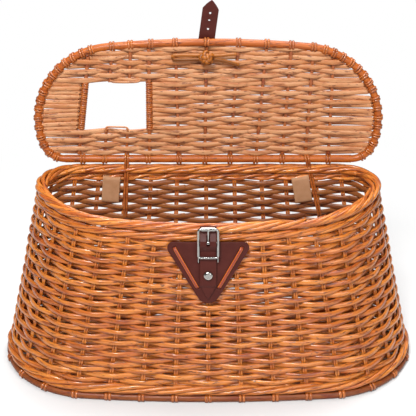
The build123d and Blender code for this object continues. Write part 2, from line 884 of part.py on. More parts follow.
def make_post_wraps():
    """Cane wound close round each post, as long as the window is deep."""
    wraps = []
    for column in post_lines_x:
        slant = (post_x(column, window_far) - post_x(column, window_near)) / (window_far - window_near)
        spare = seat_clearance + post_wrap_radius * abs(slant)
        low, high = window_near + spare, window_far - spare
        near, far = lid_point(post_x(column, low), low), lid_point(post_x(column, high), high)
        bore = post_radius + bar_play
        wraps.append(rod(near, far, post_wrap_radius) - rod(near, far, bore))
    return wraps


def make_lid_weave():
    plate = lid_outline().plate(-lid_weave_thickness / 2, lid_weave_thickness, -lid_weave_edge)
    sticks = lid_stakes_x + window_stakes_x
    holes = lid_sticks(sticks, lid_stake_radius + channel_clearance, lid_weave_gap)
    holes += lid_sticks(post_lines_x, post_radius + channel_clearance, lid_weave_gap)
    holes.append(window_hole())
    depth = hinge_reach + hinge_cane_radius + notch_room
    for x, lean in hinges.values():
        swing = depth * math.tan(math.radians(abs(lean)))
        half = 2 * hinge_cane_radius + hinge_cane_gap / 2 + swing + notch_room
        thick = lid_weave_thickness
        holes.append(box((x - half, -depth, -thick), (x + half, 0, thick)))
    holes += stitch_legs(thong_radius + bar_play)
    return cut(plate, holes)


def make_lid_bindings():
    """Double wraps of cane on the rod and on the hoop at the ends of the stakes."""
    rings = []
    for x in lid_wraps_on_rod:
        rings += wrap_rings((x, 0, 0), (1, 0, 0), rod_radius)
    for x in lid_wraps_on_hoop:
        (x, y), (along_x, along_y) = lid_outline().front_station(x)
        rings += wrap_rings((x, y, 0), (along_x, along_y, 0), lid_hoop_radius)
    return rings


def make_lid_end_wraps():
    """The close winding on the hoop at the two ends of the lid."""
    sleeves = []
    for side in (1, -1):
        path = Wire([lid_outline().arc(1, side, start=end_wrap_start)])
        outer = tube(path, lid_hoop_radius + end_wrap_thickness)
        sleeves.append(outer - tube(path, lid_hoop_radius + bar_play))
    return sleeves


# ---------------------------------------------------------------- lid strap
def strap_band():
    """The whole strap, lying flat on the outer side of the lid."""
    face = pointed_strap(
        strap_width,
        strap_offset_place - strap_tip + strap_shoulder_length,
        strap_offset_place - strap_tip,
        strap_offset_place - strap_base,
    )
    strap = extrude(face, strap_thickness)
    for place in strap_holes:
        y = strap_offset_place - place
        strap = strap - rod((0, y, -1), (0, y, 2 * strap_thickness), strap_hole_radius)
    return Pos(strap_offset, -strap_offset_place, strap_low) * Rot(0, 0, strap_lean) * strap


def strap_part(near, far):
    """The stretch of the strap between two distances from the rod's axis."""
    low, high = strap_low - contact_gap, strap_low + strap_thickness + contact_gap
    return strap_band() & box((-lid_depth, -far, low), (lid_depth, -near, high))


def make_strap_base():
    return cut(strap_part(0, strap_bend - strap_bend_room), stitch_legs(thong_radius + bar_play))


def make_strap_end():
    return strap_part(strap_bend + strap_bend_room, 2 * lid_depth)


def stitch_low():
    return knot_z + knot_radius - stitch_tuck


def stitch_legs(radius):
    """Where the thong goes down through strap and weave into the knot."""
    x, distance = knot_place
    top = strap_low + strap_thickness + stitch_bend
    legs = []
    for side in (-1, 1):
        start = lid_point(x + side * stitch_half_width, distance, stitch_low())
        legs.append(rod(start, (start.X, start.Y, top), radius))
    return legs


def thong_path():
    """In at one end, through the knot, round the bight and back out to the other end."""
    x, distance = knot_place
    turn = x + knot_length
    points = [
        lid_point(*thong_ends[0], thong_z),
        lid_point(turn, distance + thong_spread, thong_z),
        lid_point(thong_bight, distance + thong_spread, thong_z),
        lid_point(thong_bight, distance - thong_spread, thong_z),
        lid_point(turn, distance - thong_spread, thong_z),
        lid_point(*thong_ends[1], thong_z),
    ]
    bight = thong_spread - bar_play
    return Wire(FilletPolyline(*points, radius=[knot_radius, bight, bight, knot_radius]).edges())


def make_strap_lace():
    x, distance = knot_place
    top = strap_low + strap_thickness + seat_clearance + stitch_bend
    low = stitch_low() + seat_clearance
    left, right = x - stitch_half_width, x + stitch_half_width
    points = [
        lid_point(left, distance, low),
        lid_point(left, distance, top),
        lid_point(right, distance, top),
        lid_point(right, distance, low),
    ]
    stitch = tube(Wire(FilletPolyline(*points, radius=stitch_bend).edges()), thong_radius)
    return [tube(thong_path(), thong_radius), stitch]


def make_strap_knot():
    x, distance = knot_place
    start = lid_point(x - knot_length / 2, distance, knot_z)
    end = lid_point(x + knot_length / 2, distance, knot_z)
    barrel = rod(start, end, knot_radius)
    barrel = fillet(barrel.edges().filter_by(GeomType.CIRCLE), knot_rounding)
    holes = stitch_legs(thong_radius + bar_play) + [tube(thong_path(), thong_radius + bar_play)]
    return cut(barrel, holes)


# ---------------------------------------------------------------- the whole creel
def body_pieces():
    channels = stake_channels()
    half_wale, half_wall = wale_thickness / 2, wall_thickness / 2
    canes = [hinge_slot(name) for name in hinges]
    loops = [back_strap_band(name, slot_clearance) for name in back_straps]
    laces = [lace_ring(side, slot_clearance) for side in (-1, 1)]
    rim = channels + canes
    bottom_wale = shell(bottom_wale_z, wall_z, -half_wale, half_wale)
    wall = shell(wall_z, top_wale_z, -half_wall, half_wall)
    top_wale = shell(top_wale_z, border_z, -half_wale, half_wale)
    stake_low, stake_high = bottom_wale_z + stake_foot, border_z + stake_head
    return {
        "base_hoop": make_foot_hoop(),
        "base_panel": make_floor(),
        "base_sticks": make_floor_sticks(),
        "base_bindings": make_foot_wraps(),
        "bottom_wale": cut(bottom_wale, channels),
        "side_wall": cut(wall, rim + loops + laces + keeper_holes()),
        "side_stakes": stakes(stake_radius, stake_low, stake_high),
        "top_wale": cut(top_wale, rim + loops),
        "top_border": cut(make_border(), rim),
        "hinge_loop_left": hinge_canes("left"),
        "hinge_loop_right": hinge_canes("right"),
        "back_strap_left": make_back_strap("left"),
        "back_strap_right": make_back_strap("right"),
        "back_strap_rivets": make_back_strap_rivets(),
        "buckle_shield": make_shield(),
        "shield_lace_left": lace_ring(-1),
        "shield_lace_right": lace_ring(1),
        "buckle_tab": make_tab(),
        "strap_rivet": make_rivet(),
        "rivet_washer": make_washer(),
        "keeper_staple": make_keeper(),
    }


def buckle_pieces():
    return {
        "buckle_tab_upper": make_tab_upper(),
        "buckle_frame": make_buckle_frame(),
        "buckle_roller": make_roller(),
        "buckle_tongue": make_tongue(),
    }


def lid_pieces():
    pieces = {
        "lid_back_rod": make_lid_rod(),
        "lid_hoop": make_lid_hoop(),
        "lid_weave": make_lid_weave(),
        "lid_stakes": make_lid_stakes(),
        "window_posts": make_window_posts(),
        "window_post_wraps": make_post_wraps(),
        "lid_bindings": make_lid_bindings(),
        "lid_end_wraps": make_lid_end_wraps(),
        "lid_strap_base": make_strap_base(),
        "lid_strap_lace": make_strap_lace(),
        "lid_strap_knot": make_strap_knot(),
        "lid_strap_end": make_strap_end(),
    }
    return {
        name: [on_lid(solid) for solid in solids_of(shape)] for name, shape in pieces.items()
    }


def main():
    os.makedirs("parts", exist_ok=True)
    for name, shape in {**body_pieces(), **buckle_pieces(), **lid_pieces()}.items():
        solids = solids_of(shape)
        piece = solids[0] if len(solids) == 1 else Compound(solids)
        export_step(piece, f"parts/{name}.step")


if __name__ == "__main__":
    main()
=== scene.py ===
import math
import random

import bmesh
import bpy
from bpy.props import FloatProperty, FloatVectorProperty, IntProperty, PointerProperty
from mathutils import Matrix, Vector
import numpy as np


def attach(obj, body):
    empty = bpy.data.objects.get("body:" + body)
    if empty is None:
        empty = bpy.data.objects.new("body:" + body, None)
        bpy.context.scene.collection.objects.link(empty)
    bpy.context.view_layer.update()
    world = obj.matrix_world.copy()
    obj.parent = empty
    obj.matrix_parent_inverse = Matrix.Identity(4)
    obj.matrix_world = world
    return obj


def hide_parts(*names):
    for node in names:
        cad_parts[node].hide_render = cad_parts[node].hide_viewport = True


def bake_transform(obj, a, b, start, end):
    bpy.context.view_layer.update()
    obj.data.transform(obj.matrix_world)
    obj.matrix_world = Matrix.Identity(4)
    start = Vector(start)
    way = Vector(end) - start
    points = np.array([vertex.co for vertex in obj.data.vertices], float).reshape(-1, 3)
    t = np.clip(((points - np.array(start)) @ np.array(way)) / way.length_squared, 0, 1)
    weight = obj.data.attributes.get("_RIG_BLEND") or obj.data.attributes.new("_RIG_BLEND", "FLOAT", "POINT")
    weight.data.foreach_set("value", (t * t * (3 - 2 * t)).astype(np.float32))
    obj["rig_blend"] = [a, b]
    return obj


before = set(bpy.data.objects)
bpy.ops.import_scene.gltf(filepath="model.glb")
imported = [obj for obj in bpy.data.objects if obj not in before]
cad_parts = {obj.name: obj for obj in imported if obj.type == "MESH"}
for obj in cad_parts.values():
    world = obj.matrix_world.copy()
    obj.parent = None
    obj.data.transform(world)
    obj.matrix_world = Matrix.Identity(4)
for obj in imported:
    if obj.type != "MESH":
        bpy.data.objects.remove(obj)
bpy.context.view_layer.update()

bl_info = {
    "name": "Wicker creel",
    "version": (1, 0, 0),
    "blender": (4, 5, 0),
    "location": "View3D > Sidebar > Creel",
    "description": "Weaves, dresses and lights a bow-fronted willow creel round its packed frame",
    "category": "Add Mesh",
}

RODS = "rod_map"        # UV map of a rod: metres along it, metres round it
TONE = "tone"           # how dark each rod is, 0 to 1
FACING = "facing"       # 1 on a rod's outer face, 0 on its edges, -1 on its inner face


def mm(value):
    """Millimetres as metres."""
    return value * 0.001


def hex_colour(text):
    """An sRGB hex colour as the linear colour that a shader takes."""
    values = [int(text[i:i + 2], 16) / 255 for i in (1, 3, 5)]
    return tuple(v / 12.92 if v <= 0.04045 else ((v + 0.055) / 1.055) ** 2.4 for v in values)


# ---------------------------------------------------------------- the body's outline, as in the frame
# Front, back and half width, then the radii of front, sides and back corners, in millimetres.
FOOT_LEVEL, MOUTH_LEVEL = 3.3, 174.65
FOOT = (-89.3, 50.8, 202.3, 1281.0, 91.6, 48.0)
MOUTH = (-56.5, 64.1, 164.0, 393.0, 97.0, 34.5)
LID = (-121.3, 0.0, 168.2, 1050.0, 77.0, 22.0)
WALL_LOW, WALL_HIGH = 16.9, 161.9
WALE_LOW, BORDER_LOW, BORDER_HIGH = 6.7, 169.9, 179.4
BACK_STAKES = (-109.0, -82.0, -57.0, -31.0, -2.0, 26.0, 53.0, 77.0, 107.0)
SIDE_STEPS = 11
ROD_AXIS = (65.5, 185.0)
LID_OPEN = math.radians(95)
FRONT_LEAN = math.atan2(MOUTH[0] - FOOT[0], MOUTH_LEVEL - FOOT_LEVEL)
BACK_LEAN = math.atan2(MOUTH[1] - FOOT[1], MOUTH_LEVEL - FOOT_LEVEL)

# The lid's sticks: place at the back rod and at the hoop.
LID_STAKES = (
    (-29.2, -31.9), (-3.4, -1.5), (21.9, 29.2), (47.5, 56.9), (74.0, 80.7), (97.2, 102.2), (120.2, 122.1),
)
WINDOW_STAKES = ((-104.0, -93.0), (-82.0, -75.0))
WINDOW_POSTS = ((-130.0, -116.0), (-58.5, -57.5))
WINDOW_NEAR, WINDOW_FAR = 31.5, 81.0
KNOT = (-1.6, 108.2)            # across the lid, and from the rod's axis


class Outline:
    """A D shape made of a flat front arc, side arcs, back corners and a straight back."""

    def __init__(self, front, back, half_width, front_radius, side_radius, corner_radius):
        self.radii = (front_radius, side_radius, corner_radius)
        first = (0.0, front + front_radius)
        third = (half_width - corner_radius, back - corner_radius)
        reach, other = front_radius - side_radius, side_radius - corner_radius
        dx, dy = third[0] - first[0], third[1] - first[1]
        gap = math.hypot(dx, dy)
        along = (reach**2 - other**2 + gap**2) / (2 * gap)
        square = reach**2 - along**2
        second = None
        if square >= 0:
            side = math.sqrt(square)
            choices = [
                (first[0] + (along * dx + s * side * dy) / gap, first[1] + (along * dy - s * side * dx) / gap)
                for s in (-1, 1)
            ]
            second = min(choices)
        if second is None or third[1] > second[1]:
            run = half_width - side_radius
            second = (run, first[1] - math.sqrt(reach**2 - run**2))
            drop = back - corner_radius - second[1]
            third = (second[0] + math.sqrt(other**2 - drop**2), back - corner_radius)
        self.centres = (first, second, third)
        self.back = back
        self.turns = (
            0.0,
            math.atan2(second[0], first[1] - second[1]),
            math.pi / 2 + math.atan2(third[1] - second[1], third[0] - second[0]),
            math.pi,
        )
        arcs = [self.radii[i] * (self.turns[i + 1] - self.turns[i]) for i in range(3)]
        self.lengths = arcs + [self.centres[2][0]]

    def station(self, index, share, offset=0.0):
        """A point of the right half, by its stretch and a share of it."""
        if index == 3:
            return self.centres[2][0] * (1 - share), self.back + offset
        turn = self.turns[index] + share * (self.turns[index + 1] - self.turns[index])
        x, y = self.centres[index]
        radius = self.radii[index] + offset
        return x + radius * math.sin(turn), y - radius * math.cos(turn)

    def side_x(self, distance):
        """How far the outline reaches across at a distance behind its straight back."""
        low, high = 0.0, sum(self.lengths[:3])
        for _ in range(40):
            middle = (low + high) / 2
            if self.walk(middle)[1] < -distance:
                low = middle
            else:
                high = middle
        return self.walk((low + high) / 2)[0]

    def walk(self, length):
        """The point reached by going a length from the front centre round the right half."""
        for index in range(4):
            if length <= self.lengths[index] or index == 3:
                return self.station(index, min(length / self.lengths[index], 1.0))
            length -= self.lengths[index]


def body_outline(level):
    share = (level - FOOT_LEVEL) / (MOUTH_LEVEL - FOOT_LEVEL)
    return Outline(*[low + share * (high - low) for low, high in zip(FOOT, MOUTH)])


MOUTH_OUTLINE = body_outline(MOUTH_LEVEL)
HALF_ROUND = sum(MOUTH_OUTLINE.lengths)


def stake_places():
    """Every stake's way round the mouth, from the front centre to the right, in millimetres."""
    reach = HALF_ROUND - min(abs(BACK_STAKES[0]), abs(BACK_STAKES[-1]))
    places = []
    for step in range(SIDE_STEPS):
        way = reach * step / SIDE_STEPS
        places += [way, 2 * HALF_ROUND - way] if step else [way]
    places += [HALF_ROUND - x if x >= 0 else HALF_ROUND + abs(x) for x in BACK_STAKES]
    return sorted(places)


STAKES = stake_places()


def way_at(count):
    """The way round at a number of stakes, which may lie between two and may pass the start."""
    turn, rest = divmod(count, len(STAKES))
    index = int(rest)
    low = STAKES[index]
    high = STAKES[index + 1] if index + 1 < len(STAKES) else 2 * HALF_ROUND
    return turn * 2 * HALF_ROUND + low + (rest - index) * (high - low)


class Wall:
    """Points on the wall by stakes gone round, level and distance out from its middle."""

    def __init__(self):
        self.kept = {}

    def outline(self, level):
        key = round(level, 2)
        if key not in self.kept:
            self.kept[key] = body_outline(key)
        return self.kept[key]

    def flat(self, way, level):
        way = way % (2 * HALF_ROUND)
        left = way > HALF_ROUND
        rest = 2 * HALF_ROUND - way if left else way
        outline = self.outline(level)
        for index in range(4):
            length = MOUTH_OUTLINE.lengths[index]
            if rest <= length or index == 3:
                x, y = outline.station(index, min(rest / length, 1.0))
                return Vector((-x if left else x, y, level))
            rest -= length

    def frame(self, count, level):
        """The point, the way up the wall and the way out of it."""
        way = way_at(count)
        here = self.flat(way, level)
        along = (self.flat(way + 0.5, level) - self.flat(way - 0.5, level)).normalized()
        up = (self.flat(way, level + 2.0) - self.flat(way, level - 2.0)).normalized()
        out = along.cross(up).normalized()
        return here, out.cross(along).normalized(), out


WALL = Wall()


def on_front(x, along, out):
    """A point of the front by its place across, up the wall from the foot, and out from it."""
    y = FOOT[0] + along * math.sin(FRONT_LEAN) - out * math.cos(FRONT_LEAN)
    z = FOOT_LEVEL + along * math.cos(FRONT_LEAN) + out * math.sin(FRONT_LEAN)
    return Vector((mm(x), mm(y), mm(z)))


def on_lid(x, distance, out):
    """A point of the open lid by its place across, distance from the rod, and side."""
    turn = -LID_OPEN
    y = ROD_AXIS[0] - distance * math.cos(turn) - out * math.sin(turn)
    z = ROD_AXIS[1] - distance * math.sin(turn) + out * math.cos(turn)
    return Vector((mm(x), mm(y), mm(z)))


LID_UP = (on_lid(0, 100, 0) - on_lid(0, 0, 0)).normalized()
LID_BACK = (on_lid(0, 0, 100) - on_lid(0, 0, 0)).normalized()


# ---------------------------------------------------------------- rods of willow and cane
def new_piece(name, bm, material, body, nodes=()):
    """Makes an object of a bmesh, dresses it and hangs it on its body of the frame."""
    mesh = bpy.data.meshes.new(name)
    bm.to_mesh(mesh)
    bm.free()
    piece = bpy.data.objects.new(name, mesh)
    bpy.context.scene.collection.objects.link(piece)
    mesh.materials.append(material)
    if nodes:
        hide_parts(*nodes)
    if body:
        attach(piece, body)
    return piece


def rod_bmesh():
    bm = bmesh.new()
    bm.loops.layers.uv.new(RODS)
    bm.verts.layers.float.new(TONE)
    bm.verts.layers.float.new(FACING)
    return bm


def add_rod(bm, line, ups, high, deep, tone, sides=8, ends=(True, True)):
    """Rolls a grid round a line. high and deep are half sizes at each point, up and out."""
    count = len(line)
    line, ups, high, deep = list(line), list(ups), list(high), list(deep)
    for at_end, wanted in ((0, ends[0]), (count - 1, ends[1])):
        if not wanted:
            continue
        place = (line[at_end], ups[at_end])
        for scale in (0.8, 0.0):
            spot = 0 if at_end == 0 else len(line)
            line.insert(spot, place[0])
            ups.insert(spot, place[1])
            high.insert(spot, high[0 if at_end == 0 else -1] * scale)
            deep.insert(spot, deep[0 if at_end == 0 else -1] * scale)
        first = 0 if at_end == 0 else len(line) - 1
        inner = 2 if at_end == 0 else len(line) - 3
        way = (line[inner] - line[inner + (1 if at_end == 0 else -1)]).normalized()
        line[inner] = line[inner] - way * high[inner] * 0.15
        line[first] = line[first] + way * 0.00002
    rings = len(line)
    made = bmesh.ops.create_grid(bm, x_segments=rings - 1, y_segments=sides, size=0.5)["verts"]
    ways, outs, tops, along = [], [], [], [0.0]
    for i in range(rings):
        way = line[min(i + 1, rings - 1)] - line[max(i - 1, 0)]
        way.normalize()
        top = (ups[i] - way * ups[i].dot(way)).normalized()
        ways.append(way)
        tops.append(top)
        outs.append(way.cross(top))
        if i:
            along.append(along[-1] + (line[i] - line[i - 1]).length)
    tone_layer, facing_layer = bm.verts.layers.float[TONE], bm.verts.layers.float[FACING]
    uv_layer = bm.loops.layers.uv[RODS]
    girth = 2 * math.pi * math.sqrt(max(high) * max(deep))
    turns = [2 * math.pi * j / sides for j in range(sides + 1)]
    waves = [(math.cos(a), math.sin(a)) for a in turns]
    faces = set()
    index = {}
    for vert in made:
        i = round((vert.co.x + 0.5) * (rings - 1))
        j = round((vert.co.y + 0.5) * sides)
        index[vert] = (i, j)
        c, s = waves[j]
        vert.co = line[i] + outs[i] * (deep[i] * c) + tops[i] * (high[i] * s)
        vert[tone_layer] = tone
        vert[facing_layer] = c
        faces.update(vert.link_faces)
    shift = tone * 7.3
    for face in faces:
        face.smooth = True
        for loop in face.loops:
            i, j = index[loop.vert]
            loop[uv_layer].uv = (along[i] + shift, girth * j / sides)
    bmesh.ops.remove_doubles(bm, verts=made, dist=1e-7)


def lean_wave(count):
    """A weaver's way in and out: nearly straight between stakes, bent over each of them."""
    fold = 1 - 2 * abs((count + 1) % 2 - 1)
    return 0.72 * fold + 0.28 * math.cos(math.pi * count)


def packed(count, level):
    """1 low on the back and its corners, where the weave is packed tighter, and 0 elsewhere."""
    from_middle = abs(way_at(count) % (2 * HALF_ROUND) - HALF_ROUND)
    return min(1.0, max(0.0, (215.0 - from_middle) / 50.0)) * min(1.0, max(0.0, (115.0 - level) / 15.0))


# ---------------------------------------------------------------- materials
def add_node(tree, kind, settings=None, inputs=None):
    """Adds a node, sets its own settings, and fills or links its sockets by name or number."""
    made = tree.nodes.new(kind)
    for name, value in (settings or {}).items():
        setattr(made, name, value)
    for socket, value in (inputs or {}).items():
        if isinstance(value, bpy.types.NodeSocket):
            tree.links.new(value, made.inputs[socket])
        else:
            made.inputs[socket].default_value = value
    return made


def new_material(name):
    material = bpy.data.materials.new(name)
    material.use_nodes = True
    tree = material.node_tree
    return material, tree, tree.nodes["Principled BSDF"]


def blended(tree, factor, first, second):
    """The colour between two, each a colour or a socket."""
    values = {0: factor}
    for socket, value in ((6, first), (7, second)):
        values[socket] = value if isinstance(value, bpy.types.NodeSocket) else (*value, 1.0)
    return add_node(tree, "ShaderNodeMix", {"data_type": "RGBA"}, values).outputs[2]


def rod_coordinates(tree, stretch, follow, reach=0.0):
    """Coordinates along and round each rod, or the object's own, stretched along the grain."""
    if follow:
        uv = add_node(tree, "ShaderNodeUVMap", {"uv_map": RODS}).outputs[0]
        tone = add_node(tree, "ShaderNodeAttribute", {"attribute_name": TONE}).outputs["Fac"]
        split = add_node(tree, "ShaderNodeSeparateXYZ", None, {0: uv})
        lift = add_node(tree, "ShaderNodeMath", {"operation": "MULTIPLY"}, {0: tone, 1: 0.7 + reach})
        place = add_node(
            tree, "ShaderNodeCombineXYZ", None, {0: split.outputs[0], 1: split.outputs[1], 2: lift.outputs[0]}
        ).outputs[0]
    else:
        place = add_node(tree, "ShaderNodeTexCoord").outputs["Object"]
    return add_node(tree, "ShaderNodeMapping", None, {"Vector": place, "Scale": stretch}).outputs[0]


def willow(name, pale, deep, red, speck, rough, coat, follow=True, edges=None, grain=None, inner=None):
    """Peeled willow: streaks along the rod, redder stretches, dark specks of bark and knots."""
    material, tree, shader = new_material(name)
    long_grain = grain or (45.0, 420.0, 420.0)      # streaks about 20 mm long and 2 mm wide
    streak = add_node(
        tree, "ShaderNodeTexNoise", None,
        {"Vector": rod_coordinates(tree, long_grain, follow), "Scale": 1.0, "Detail": 4.0, "Roughness": 0.6},
    ).outputs[0]
    broad = add_node(
        tree, "ShaderNodeTexNoise", None,
        {"Vector": rod_coordinates(tree, (55.0, 330.0, 330.0), follow, 0.2), "Scale": 1.0, "Detail": 2.0},
    ).outputs[0]
    dots = add_node(
        tree, "ShaderNodeTexNoise", None,
        {"Vector": rod_coordinates(tree, (150.0, 640.0, 640.0), follow, 0.4), "Scale": 1.0, "Detail": 3.0},
    ).outputs[0]
    if follow:
        tone = add_node(tree, "ShaderNodeAttribute", {"attribute_name": TONE}).outputs["Fac"]
        tone = add_node(tree, "ShaderNodeMath", {"operation": "MULTIPLY"}, {0: tone, 1: 0.4}).outputs[0]
        depth = add_node(tree, "ShaderNodeMath", {"operation": "MULTIPLY_ADD"}, {0: streak, 1: 1.5, 2: tone})
        depth = add_node(
            tree, "ShaderNodeMapRange", None, {0: depth.outputs[0], 1: 0.6, 2: 1.35, 3: 0.0, 4: 1.0}
        ).outputs[0]
    else:
        depth = add_node(tree, "ShaderNodeMapRange", None, {0: streak, 1: 0.3, 2: 0.72}).outputs[0]
    colour = blended(tree, depth, pale, deep)
    redder = add_node(tree, "ShaderNodeMapRange", None, {0: broad, 1: 0.52, 2: 0.68, 3: 0.0, 4: 0.8}).outputs[0]
    colour = blended(tree, redder, colour, red)
    if edges:
        facing = add_node(tree, "ShaderNodeAttribute", {"attribute_name": FACING}).outputs["Fac"]
        flat = add_node(tree, "ShaderNodeMath", {"operation": "ABSOLUTE"}, {0: facing}).outputs[0]
        flat = add_node(tree, "ShaderNodeMapRange", None, {0: flat, 1: 0.25, 2: 0.75, 3: 0.8, 4: 0.0}).outputs[0]
        colour = blended(tree, flat, colour, edges)
    # Inner faces turn darker brown and lose varnish: partly the bare willow, partly painted shade of the basket's
    # inside.
    if inner:
        facing = add_node(tree, "ShaderNodeAttribute", {"attribute_name": FACING}).outputs["Fac"]
        inside = add_node(tree, "ShaderNodeMapRange", None, {0: facing, 1: 0.0, 2: -0.5, 3: 0.0, 4: 0.72}).outputs[0]
        colour = blended(tree, inside, colour, inner)
        varnish = add_node(tree, "ShaderNodeMapRange", None, {0: inside, 1: 0.0, 2: 0.72, 3: coat, 4: 0.05}).outputs[0]
        tree.links.new(varnish, shader.inputs["Coat Weight"])
    spots = add_node(tree, "ShaderNodeMapRange", None, {0: dots, 1: 0.585, 2: 0.67, 3: 0.0, 4: 0.85}).outputs[0]
    colour = blended(tree, spots, colour, speck)
    tree.links.new(colour, shader.inputs["Base Color"])
    roughness = add_node(
        tree, "ShaderNodeMapRange", None, {0: broad, 1: 0.3, 2: 0.7, 3: rough - 0.05, 4: rough + 0.1}
    ).outputs[0]
    tree.links.new(roughness, shader.inputs["Roughness"])
    shader.inputs["Coat Weight"].default_value = coat
    shader.inputs["Coat Roughness"].default_value = 0.12
    bump = add_node(
        tree, "ShaderNodeBump", None, {"Strength": 0.35, "Distance": mm(0.35), "Height": streak}
    ).outputs[0]
    tree.links.new(bump, shader.inputs["Normal"])
    return material


def leather(name, base, worn, rough, grain=900.0):
    """Vegetable-tanned leather, oiled: a fine pebbled grain with paler rubbed patches."""
    material, tree, shader = new_material(name)
    place = add_node(tree, "ShaderNodeTexCoord").outputs["Object"]
    pores = add_node(
        tree, "ShaderNodeTexVoronoi", {"feature": "SMOOTH_F1"}, {"Vector": place, "Scale": grain}
    ).outputs["Distance"]
    cloud = add_node(
        tree, "ShaderNodeTexNoise", None, {"Vector": place, "Scale": 90.0, "Detail": 5.0, "Roughness": 0.6}
    ).outputs[0]
    patch = add_node(tree, "ShaderNodeMapRange", None, {0: cloud, 1: 0.42, 2: 0.72, 3: 0.0, 4: 0.7}).outputs[0]
    tree.links.new(blended(tree, patch, base, worn), shader.inputs["Base Color"])
    roughness = add_node(
        tree, "ShaderNodeMapRange", None, {0: cloud, 1: 0.3, 2: 0.7, 3: rough - 0.06, 4: rough + 0.08}
    ).outputs[0]
    tree.links.new(roughness, shader.inputs["Roughness"])
    shader.inputs["Specular IOR Level"].default_value = 0.28
    height = add_node(tree, "ShaderNodeMath", {"operation": "MULTIPLY_ADD"}, {0: cloud, 1: 0.8, 2: pores})
    bump = add_node(
        tree, "ShaderNodeBump", None, {"Strength": 0.3, "Distance": mm(0.12), "Height": height.outputs[0]}
    ).outputs[0]
    tree.links.new(bump, shader.inputs["Normal"])
    return material


def thong(name, middle, edge, follow=True):
    """Waxed thong: the grain side wears darker along its middle, the cut edges stay bright. With the two colours
    swapped, as on the knot, the darker sides are painted shade between the strands.
    """
    material, tree, shader = new_material(name)
    place = rod_coordinates(tree, (180.0, 700.0, 700.0), follow)
    fibres = add_node(
        tree, "ShaderNodeTexNoise", None, {"Vector": place, "Scale": 1.0, "Detail": 3.0}
    ).outputs[0]
    if follow:
        facing = add_node(tree, "ShaderNodeAttribute", {"attribute_name": FACING}).outputs["Fac"]
        factor = add_node(tree, "ShaderNodeMath", {"operation": "MULTIPLY_ADD"}, {0: fibres, 1: 0.3, 2: facing})
        factor = add_node(
            tree, "ShaderNodeMapRange", None, {0: factor.outputs[0], 1: 0.78, 2: 1.02}
        ).outputs[0]
    else:
        factor = add_node(tree, "ShaderNodeMapRange", None, {0: fibres, 1: 0.4, 2: 0.6}).outputs[0]
    tree.links.new(blended(tree, factor, edge, middle), shader.inputs["Base Color"])
    shader.inputs["Roughness"].default_value = 0.42
    bump = add_node(
        tree, "ShaderNodeBump", None, {"Strength": 0.4, "Distance": mm(0.2), "Height": fibres}
    ).outputs[0]
    tree.links.new(bump, shader.inputs["Normal"])
    return material


def metal(name, colour, tarnish, rough):
    """Plated wire or a turned cap: bright, with fine scratches and duller handled patches."""
    material, tree, shader = new_material(name)
    place = add_node(tree, "ShaderNodeTexCoord").outputs["Object"]
    cloud = add_node(
        tree, "ShaderNodeTexNoise", None, {"Vector": place, "Scale": 260.0, "Detail": 5.0}
    ).outputs[0]
    scratch = add_node(
        tree, "ShaderNodeTexNoise", None,
        {"Vector": add_node(tree, "ShaderNodeMapping", None, {"Vector": place, "Scale": (300.0, 4000.0, 900.0)})
         .outputs[0], "Scale": 1.0, "Detail": 2.0},
    ).outputs[0]
    dull = add_node(tree, "ShaderNodeMapRange", None, {0: cloud, 1: 0.5, 2: 0.75, 3: 0.0, 4: 0.35}).outputs[0]
    tree.links.new(blended(tree, dull, colour, tarnish), shader.inputs["Base Color"])
    shader.inputs["Metallic"].default_value = 1.0
    roughness = add_node(
        tree, "ShaderNodeMapRange", None, {0: cloud, 1: 0.3, 2: 0.7, 3: rough, 4: rough + 0.08}
    ).outputs[0]
    tree.links.new(roughness, shader.inputs["Roughness"])
    bump = add_node(
        tree, "ShaderNodeBump", None, {"Strength": 0.08, "Distance": mm(0.05), "Height": scratch}
    ).outputs[0]
    tree.links.new(bump, shader.inputs["Normal"])
    return material


# ---------------------------------------------------------------- sizes and colours a user may change
def colour_property(name, description, value):
    return FloatVectorProperty(
        name=name, description=description, subtype="COLOR", size=3, min=0.0, max=1.0, default=hex_colour(value)
    )


def length_property(name, description, value):
    return FloatProperty(
        name=name, description=description, unit="LENGTH", subtype="DISTANCE", min=0.0, default=mm(value)
    )


class CreelSizes(bpy.types.PropertyGroup):
    """Sizes of the weave."""

    wall_rows: IntProperty(name="Wall rows", description="Rows woven in the wall", default=27, min=2)
    weaver_high: length_property("Weaver height", "Half height of a weaver of the wall", 2.85)
    weaver_deep: length_property("Weaver depth", "Half thickness of a weaver of the wall", 1.5)
    weave_swing: length_property("Weave swing", "How far a weaver swings in and out of the wall", 3.1)
    wale_rod: length_property("Wale rod", "Radius of the rods of the bottom wale", 2.3)
    top_wale_rod: length_property("Top wale rod", "Radius of the rods of the top wale", 1.95)
    border_rod: length_property("Border rod", "Radius of the rods of the border", 2.1)
    skein_high: length_property("Skein width", "Half width of the split willow of the lid", 2.75)
    skein_deep: length_property("Skein thickness", "Half thickness of the split willow of the lid", 1.0)
    cane: length_property("Winding cane", "Half width of the cane wound on hoop and posts", 1.15)


class CreelColours(bpy.types.PropertyGroup):
    """Colours of willow, leather and metal."""

    willow_pale: colour_property("Willow, pale", "Lightest varnished willow", "#e08a36")
    willow_deep: colour_property("Willow, deep", "Varnished willow in the streaks", "#b45416")
    willow_red: colour_property("Willow, red", "Redder stretches of the rods", "#7c2c0e")
    willow_speck: colour_property("Willow, specks", "Knots and specks of bark", "#5a2614")
    lid_pale: colour_property("Lid willow, pale", "Split willow of the lid", "#dba477")
    lid_deep: colour_property("Lid willow, deep", "Streaks of the lid's willow", "#c0763e")
    cane: colour_property("Cane", "Split cane of bindings and windings", "#c8702a")
    brown: colour_property("Brown leather", "Harness leather", "#4a1810")
    tan: colour_property("Tan leather", "Loops inside the back wall", "#b98a66")
    lace: colour_property("Lace edges", "Edges of the thongs", "#dc701c")
    nickel: colour_property("Nickel", "Plated buckle and rivet", "#b4b2ae")


